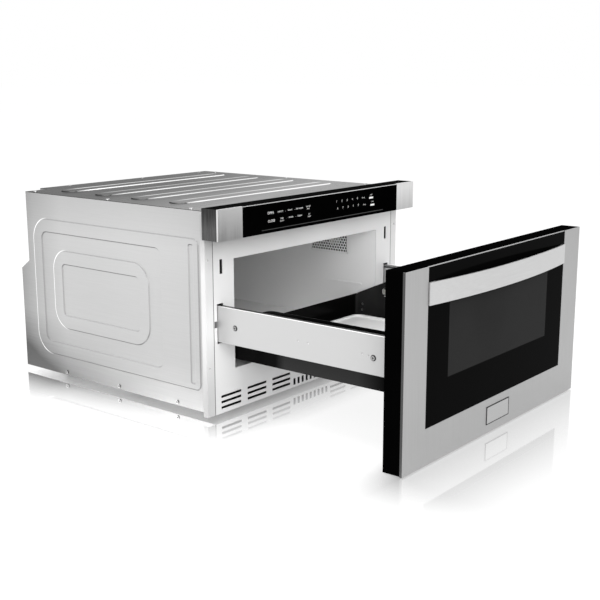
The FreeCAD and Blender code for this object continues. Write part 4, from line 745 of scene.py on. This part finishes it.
def washers(name, node_name, body, radius):
    """Thin washer under each of the larger heads of a node, dark as painted shade round the head.
    """
    work = bmesh.new()
    for lo, hi in islands(node_name):
        size, middle = hi - lo, (lo + hi) / 2
        if max(size) < LEAST_HEAD:
            continue
        way = 1 if middle.x > 0 else -1
        seat = lo.x if way > 0 else hi.x
        face = seat + way * WASHER_THICK
        skin(work, [ring(work, x, middle.y, middle.z, r, 40)
                    for x, r in ((seat, radius), (face, radius - 0.0002), (face, 0.001))])
    bmesh.ops.recalc_face_normals(work, faces=work.faces[:])
    return add(object_of(name, work), WASHER, body)


washers("plate_washers", "drawer_screws", "drawer", 0.0053)


# ---------------------------------------------------------------- vent
def fine_screen(name, edge, pitch, hole):
    """Sheet in a plain frame, pierced with staggered rows of six-sided holes."""
    lo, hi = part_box("vent_screen")
    y0, y1, z0, z1 = lo.y + edge, hi.y - edge, lo.z + edge, hi.z - edge
    rise, cell = pitch * math.sin(math.radians(60)), pitch / math.sqrt(3)
    work = bmesh.new()
    rows = int((z1 - z0 - pitch) / rise) + 1
    for row in range(rows):
        z = (z0 + z1) / 2 + (row - (rows - 1) / 2) * rise
        count = int((y1 - y0 - pitch) / pitch) + row % 2
        for i in range(count):
            y = (y0 + y1) / 2 + (i - (count - 1) / 2) * pitch
            skin(work, [ring(work, x, y, z, r, 6)
                        for x, r in ((lo.x, cell), (lo.x, hole), (hi.x, hole), (hi.x, cell))])
    bmesh.ops.recalc_face_normals(work, faces=work.faces[:])
    inset = pitch / 2          # the frame's bars reach in over the outer cells
    frame_bars = [(lo.y, hi.y, lo.z, z0 + inset), (lo.y, hi.y, z1 - inset, hi.z),
                  (lo.y, y0 + inset, lo.z, hi.z), (y1 - inset, hi.y, lo.z, hi.z)]
    pierced = object_of(name + "_part", work)
    bars = [plate_mesh("bar", lo.x + 0.0001, hi.x - 0.0001, *bar, 0.0) for bar in frame_bars]
    made = join_meshes(name, [pierced] + bars)
    add(made, CAVITY, "chassis")
    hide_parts("vent_screen")
    return made


fine_screen("vent_perforation", edge=0.0066, pitch=0.0069, hole=0.0027)


# ---------------------------------------------------------------- drawer front
glass_low, glass_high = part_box("door_glass")
front_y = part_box("door_trim")[0].y

BRIGHT = finish_of("polished_edge", grey(0.34), grey(0.44), (0.25, 0.35), metal=0.8, grain=900)
add(plate_mesh("glass_top_edge", glass_low.x, glass_high.x, front_y, front_y + 0.0026,
               glass_high.z - 0.0009, glass_high.z + 0.0001, 0.0002),
    BRIGHT, "drawer")

# Bare name plate on the lower rail: raised dark rim round a plain field.
badge_x, badge_z0, badge_z1 = 0.040, 0.0165, 0.0490
rim_y0, rim_y1, rim_wide = front_y - 0.0012, front_y + 0.0002, 0.0016
rim = [plate_mesh("rim", -badge_x, badge_x, rim_y0, rim_y1, z0, z1, 0.0003)
       for z0, z1 in ((badge_z0, badge_z0 + rim_wide), (badge_z1 - rim_wide, badge_z1))]
rim += [plate_mesh("rim", x0, x1, rim_y0, rim_y1, badge_z0, badge_z1, 0.0003)
        for x0, x1 in ((-badge_x, -badge_x + rim_wide), (badge_x - rim_wide, badge_x))]
add(join_meshes("name_plate_rim", rim), BOX, "drawer")
add(plate_mesh("name_plate", -badge_x + 0.001, badge_x - 0.001, front_y - 0.0008,
               front_y + 0.0002, badge_z0 + 0.001, badge_z1 - 0.001, 0.0002),
    brushed("plate_face", grey(0.33), grey(0.46), "x"), "drawer")


# ---------------------------------------------------------------- tub
def wall_rim(name, side):
    """Turned rim along the top of the tub's side wall, fading out down the rear slope."""
    tub_low, tub_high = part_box("drawer_tub")
    outer, thick, top = tub_high.x * side, 0.0016 * -side, tub_high.z
    front, level, end = tub_low.y + 0.0002, tub_high.y - 0.142, tub_high.y - 0.100
    rise, fall, depth, steps = 0.0042, 0.0120, 0.0052, 8
    path = [(front, top + rise)]
    for k in range(steps + 1):
        turn = k / steps
        path.append((level + (end - level) * turn, top + rise - fall * turn * turn))
    foot = [(y, z - depth) for y, z in reversed(path)]
    outline = path + foot
    work = bmesh.new()
    rows = [[work.verts.new((x, y, z)) for y, z in outline] for x in (outer, outer + thick)]
    count = len(outline)
    for row in rows:
        for k in range(len(path) - 1):
            work.faces.new((row[k], row[k + 1], row[count - 2 - k], row[count - 1 - k]))
    for k in range(count):
        work.faces.new((rows[0][k], rows[0][(k + 1) % count], rows[1][(k + 1) % count],
                        rows[1][k]))
    bmesh.ops.recalc_face_normals(work, faces=work.faces[:])
    return add(object_of(name, work), TUB, "drawer")


wall_rim("tub_rim_left", -1)
wall_rim("tub_rim_right", 1)

# ---------------------------------------------------------------- control panel
panel_low, panel_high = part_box("control_glass")
panel_y = panel_low.y
PRINT = finish_of("white_print", grey(0.7), grey(0.8), (0.5, 0.6), grain=900)
LINE = finish_of("panel_line", grey(0.5), grey(0.6), (0.3, 0.4), metal=0.6, grain=900)

add(plate_mesh("panel_top_line", panel_low.x, panel_high.x, panel_y - 0.0001, panel_y + 0.0008,
               panel_high.z - 0.0015, panel_high.z - 0.0001, 0.0),
    LINE, "chassis")
FAINT = finish_of("panel_faint_line", grey(0.03), grey(0.045), (0.3, 0.4), grain=900)
add(plate_mesh("panel_low_line", -0.190, 0.190, panel_y - 0.0001, panel_y + 0.0008,
               panel_low.z + 0.0058, panel_low.z + 0.0068, 0.0),
    FAINT, "chassis")

row_1, row_2 = 0.3690, 0.3555
words = [("OPEN", -0.165, row_1, 0.0046), ("CLOSE", -0.163, 0.3542, 0.0046)]
words += [(t, x, row_1, 0.0026) for t, x in (("DEFROST", -0.1375), ("REHEAT", -0.1103),
                                             ("KEEP WARM", -0.0826))]
words += [("SOFTEN", -0.0563, 0.3702, 0.0024), ("MELT", -0.0563, 0.3658, 0.0024)]
words += [("TIMER", -0.1333, 0.3560, 0.0024), ("CLOCK", -0.1333, 0.3516, 0.0024)]
words += [("POWER", -0.1075, row_2, 0.0026), ("SENSOR", -0.0817, row_2, 0.0026)]
words += [("SET", -0.0533, 0.3556, 0.0024), ("LOCK", -0.0533, 0.3512, 0.0024)]
words += [(".", x, z + 0.0008, 0.004) for x, z in ((-0.1235, row_1), (-0.0965, row_1),
                                                   (-0.1200, row_2), (-0.0945, row_2))]
words += [(str(i + 1), 0.032 + 0.0172 * i, 0.3705, 0.0040) for i in range(5)]
words += [(t, 0.0355 + 0.0172 * i, 0.3570, 0.0040) for i, t in enumerate("67890")]
words += [("+30 SEC", 0.121, 0.3700, 0.0022), ("PAUSE", 0.125, 0.3560, 0.0022)]
words += [("START", 0.148, 0.3738, 0.0022), ("STOP", 0.1525, 0.3592, 0.0022)]
lettering("panel_print", words, panel_y - 0.00006, PRINT, "chassis")
keys = [plate_mesh("key", x - 0.0068, x + 0.0068, panel_y - 0.00012, panel_y + 0.0004, z - 0.0018,
                   z + 0.0018, 0.0) for x, z in ((0.148, 0.3678), (0.1525, 0.3530))]
add(join_meshes("panel_keys", keys), PRINT, "chassis")


# ---------------------------------------------------------------- stage
def near(tree, x0, x1, y0, y1, reach, ends=1.0):
    """1 beside a rectangle of the floor, falling to 0 at a distance from it; ends makes it
    fall faster past the rectangle's ends."""
    away = []
    for axis, low, high in (("X", x0, x1), ("Y", y0, y1)):
        value = height_of(tree, axis)
        below = maths(tree, "MAXIMUM", maths(tree, "SUBTRACT", low, value), 0.0)
        above = maths(tree, "MAXIMUM", maths(tree, "SUBTRACT", value, high), 0.0)
        away.append(maths(tree, "MULTIPLY", maths(tree, "ADD", below, above),
                          ends if axis == "X" else 1.0))
    squares = [maths(tree, "MULTIPLY", a, a) for a in away]
    distance = maths(tree, "SQRT", maths(tree, "ADD", squares[0], squares[1]))
    return spread(tree, distance, 1.0, 0.0, 0.0, reach)


def floor_look():
    """Pale floor: white to the camera, with a reflection that fades away from the object."""
    made, tree, shader = tree_of("studio_floor")
    out = tree.nodes["Material Output"]
    speck = noise(tree, place(tree), 6.0)
    tree.links.new(tones(tree, speck, grey(0.84), grey(0.86)), shader.inputs["Base Color"])
    shader.inputs["Roughness"].default_value = 0.6
    shader.inputs["Specular IOR Level"].default_value = 0.1
    mirror = node(tree, "BsdfGlossy", Roughness=0.05)
    mirror.inputs["Color"].default_value = (1, 1, 1, 1)
    white = node(tree, "Emission", Strength=1.1)
    path = node(tree, "LightPath")
    shown = node(tree, "MixShader")
    shown.inputs[0].default_value = 0.82
    tree.links.new(shader.outputs[0], shown.inputs[1])
    tree.links.new(white.outputs[0], shown.inputs[2])
    body = maths(tree, "POWER", near(tree, -0.297, 0.297, -0.275, 0.28, 0.13), 1.2)
    door = maths(tree, "POWER", near(tree, -0.303, 0.303, -0.71, -0.66, 0.26, 1.6), 1.5)
    before = spread(tree, height_of(tree, "Y"), 1.0, 0.0, -0.69, -0.62)
    close = maths(tree, "MAXIMUM", maths(tree, "MULTIPLY", body, 0.95),
                  maths(tree, "MULTIPLY", maths(tree, "MULTIPLY", door, before), 0.55))
    glazed = node(tree, "MixShader")
    tree.links.new(close, glazed.inputs[0])
    tree.links.new(shown.outputs[0], glazed.inputs[1])
    tree.links.new(mirror.outputs[0], glazed.inputs[2])
    choose = node(tree, "MixShader")
    seen = maths(tree, "MAXIMUM", path.outputs["Is Camera Ray"], path.outputs["Is Glossy Ray"])
    seen = maths(tree, "MAXIMUM", seen, path.outputs["Is Transmission Ray"])
    glow = node(tree, "MixShader")
    glow.inputs[0].default_value = 0.65
    tree.links.new(shader.outputs[0], glow.inputs[1])
    tree.links.new(white.outputs[0], glow.inputs[2])
    tree.links.new(seen, choose.inputs[0])
    tree.links.new(glow.outputs[0], choose.inputs[1])
    tree.links.new(glazed.outputs[0], choose.inputs[2])
    tree.links.new(choose.outputs[0], out.inputs["Surface"])
    return made


floor_mesh = bpy.data.meshes.new("studio_floor")
reach = 40.0
floor_mesh.from_pydata([(-reach, -reach, -0.0004), (reach, -reach, -0.0004),
                        (reach, reach, -0.0004), (-reach, reach, -0.0004)], [], [(0, 1, 2, 3)])
floor = bpy.data.objects.new("studio_floor", floor_mesh)
floor.data.materials.append(floor_look())
bpy.context.scene.collection.objects.link(floor)

world = bpy.data.worlds.new("studio")
world.use_nodes = True
sky = world.node_tree
for old in list(sky.nodes):
    sky.nodes.remove(old)
path = node(sky, "LightPath")
seen = maths(sky, "MAXIMUM", path.outputs["Is Camera Ray"], path.outputs["Is Transmission Ray"])
shown = maths(sky, "MAXIMUM", seen, path.outputs["Is Glossy Ray"])
plain = node(sky, "Background", Strength=0.6)
plain.inputs["Color"].default_value = (1, 1, 1, 1)
white = node(sky, "Background", Strength=1.0)
white.inputs["Color"].default_value = (1, 1, 1, 1)
choose = node(sky, "MixShader")
sky.links.new(shown, choose.inputs[0])
sky.links.new(plain.outputs[0], choose.inputs[1])
sky.links.new(white.outputs[0], choose.inputs[2])
sky.links.new(choose.outputs[0], node(sky, "OutputWorld").inputs["Surface"])
bpy.context.scene.world = world


def lamp(name, at, to, size, power):
    """Soft area lamp."""
    light = bpy.data.lights.new(name, "AREA")
    light.shape, light.size, light.energy = "SQUARE", size, power
    made = bpy.data.objects.new(name, light)
    bpy.context.scene.collection.objects.link(made)
    made.location = at
    made.rotation_euler = (Vector(to) - Vector(at)).to_track_quat("-Z", "Y").to_euler()
    made.visible_camera = False
    return made


lamp("key", (-1.9, -3.1, 1.4), (0, -0.2, 0.15), 2.8, 108.0)
lamp("over", (-0.3, -0.5, 2.6), (0, -0.4, 0.1), 2.4, 74.0)
lamp("side", (-2.6, 2.0, 1.7), (-0.1, 0, 0.15), 1.6, 40.0)

# ---------------------------------------------------------------- camera
yaw, pitch, roll = math.radians(51.03), math.radians(12.28), math.radians(-0.11)
forward = Vector((math.sin(yaw) * math.cos(pitch), math.cos(yaw) * math.cos(pitch),
                  -math.sin(pitch)))
right = Vector((math.cos(yaw), -math.sin(yaw), 0))
up = right.cross(forward)
right, up = (right * math.cos(roll) + up * math.sin(roll),
             up * math.cos(roll) - right * math.sin(roll))
lens = bpy.data.cameras.new("camera")
lens.sensor_width, lens.lens = 36.0, 62.83
lens.clip_start, lens.clip_end = 0.05, 100
camera = bpy.data.objects.new("camera", lens)
camera.matrix_world = Matrix.Translation((-1.58764, -1.53244, 0.61634)) @ Matrix(
    (right, up, -forward)).transposed().to_4x4()
bpy.context.scene.collection.objects.link(camera)
bpy.context.scene.camera = camera
bpy.context.scene.view_settings.view_transform = "Standard"
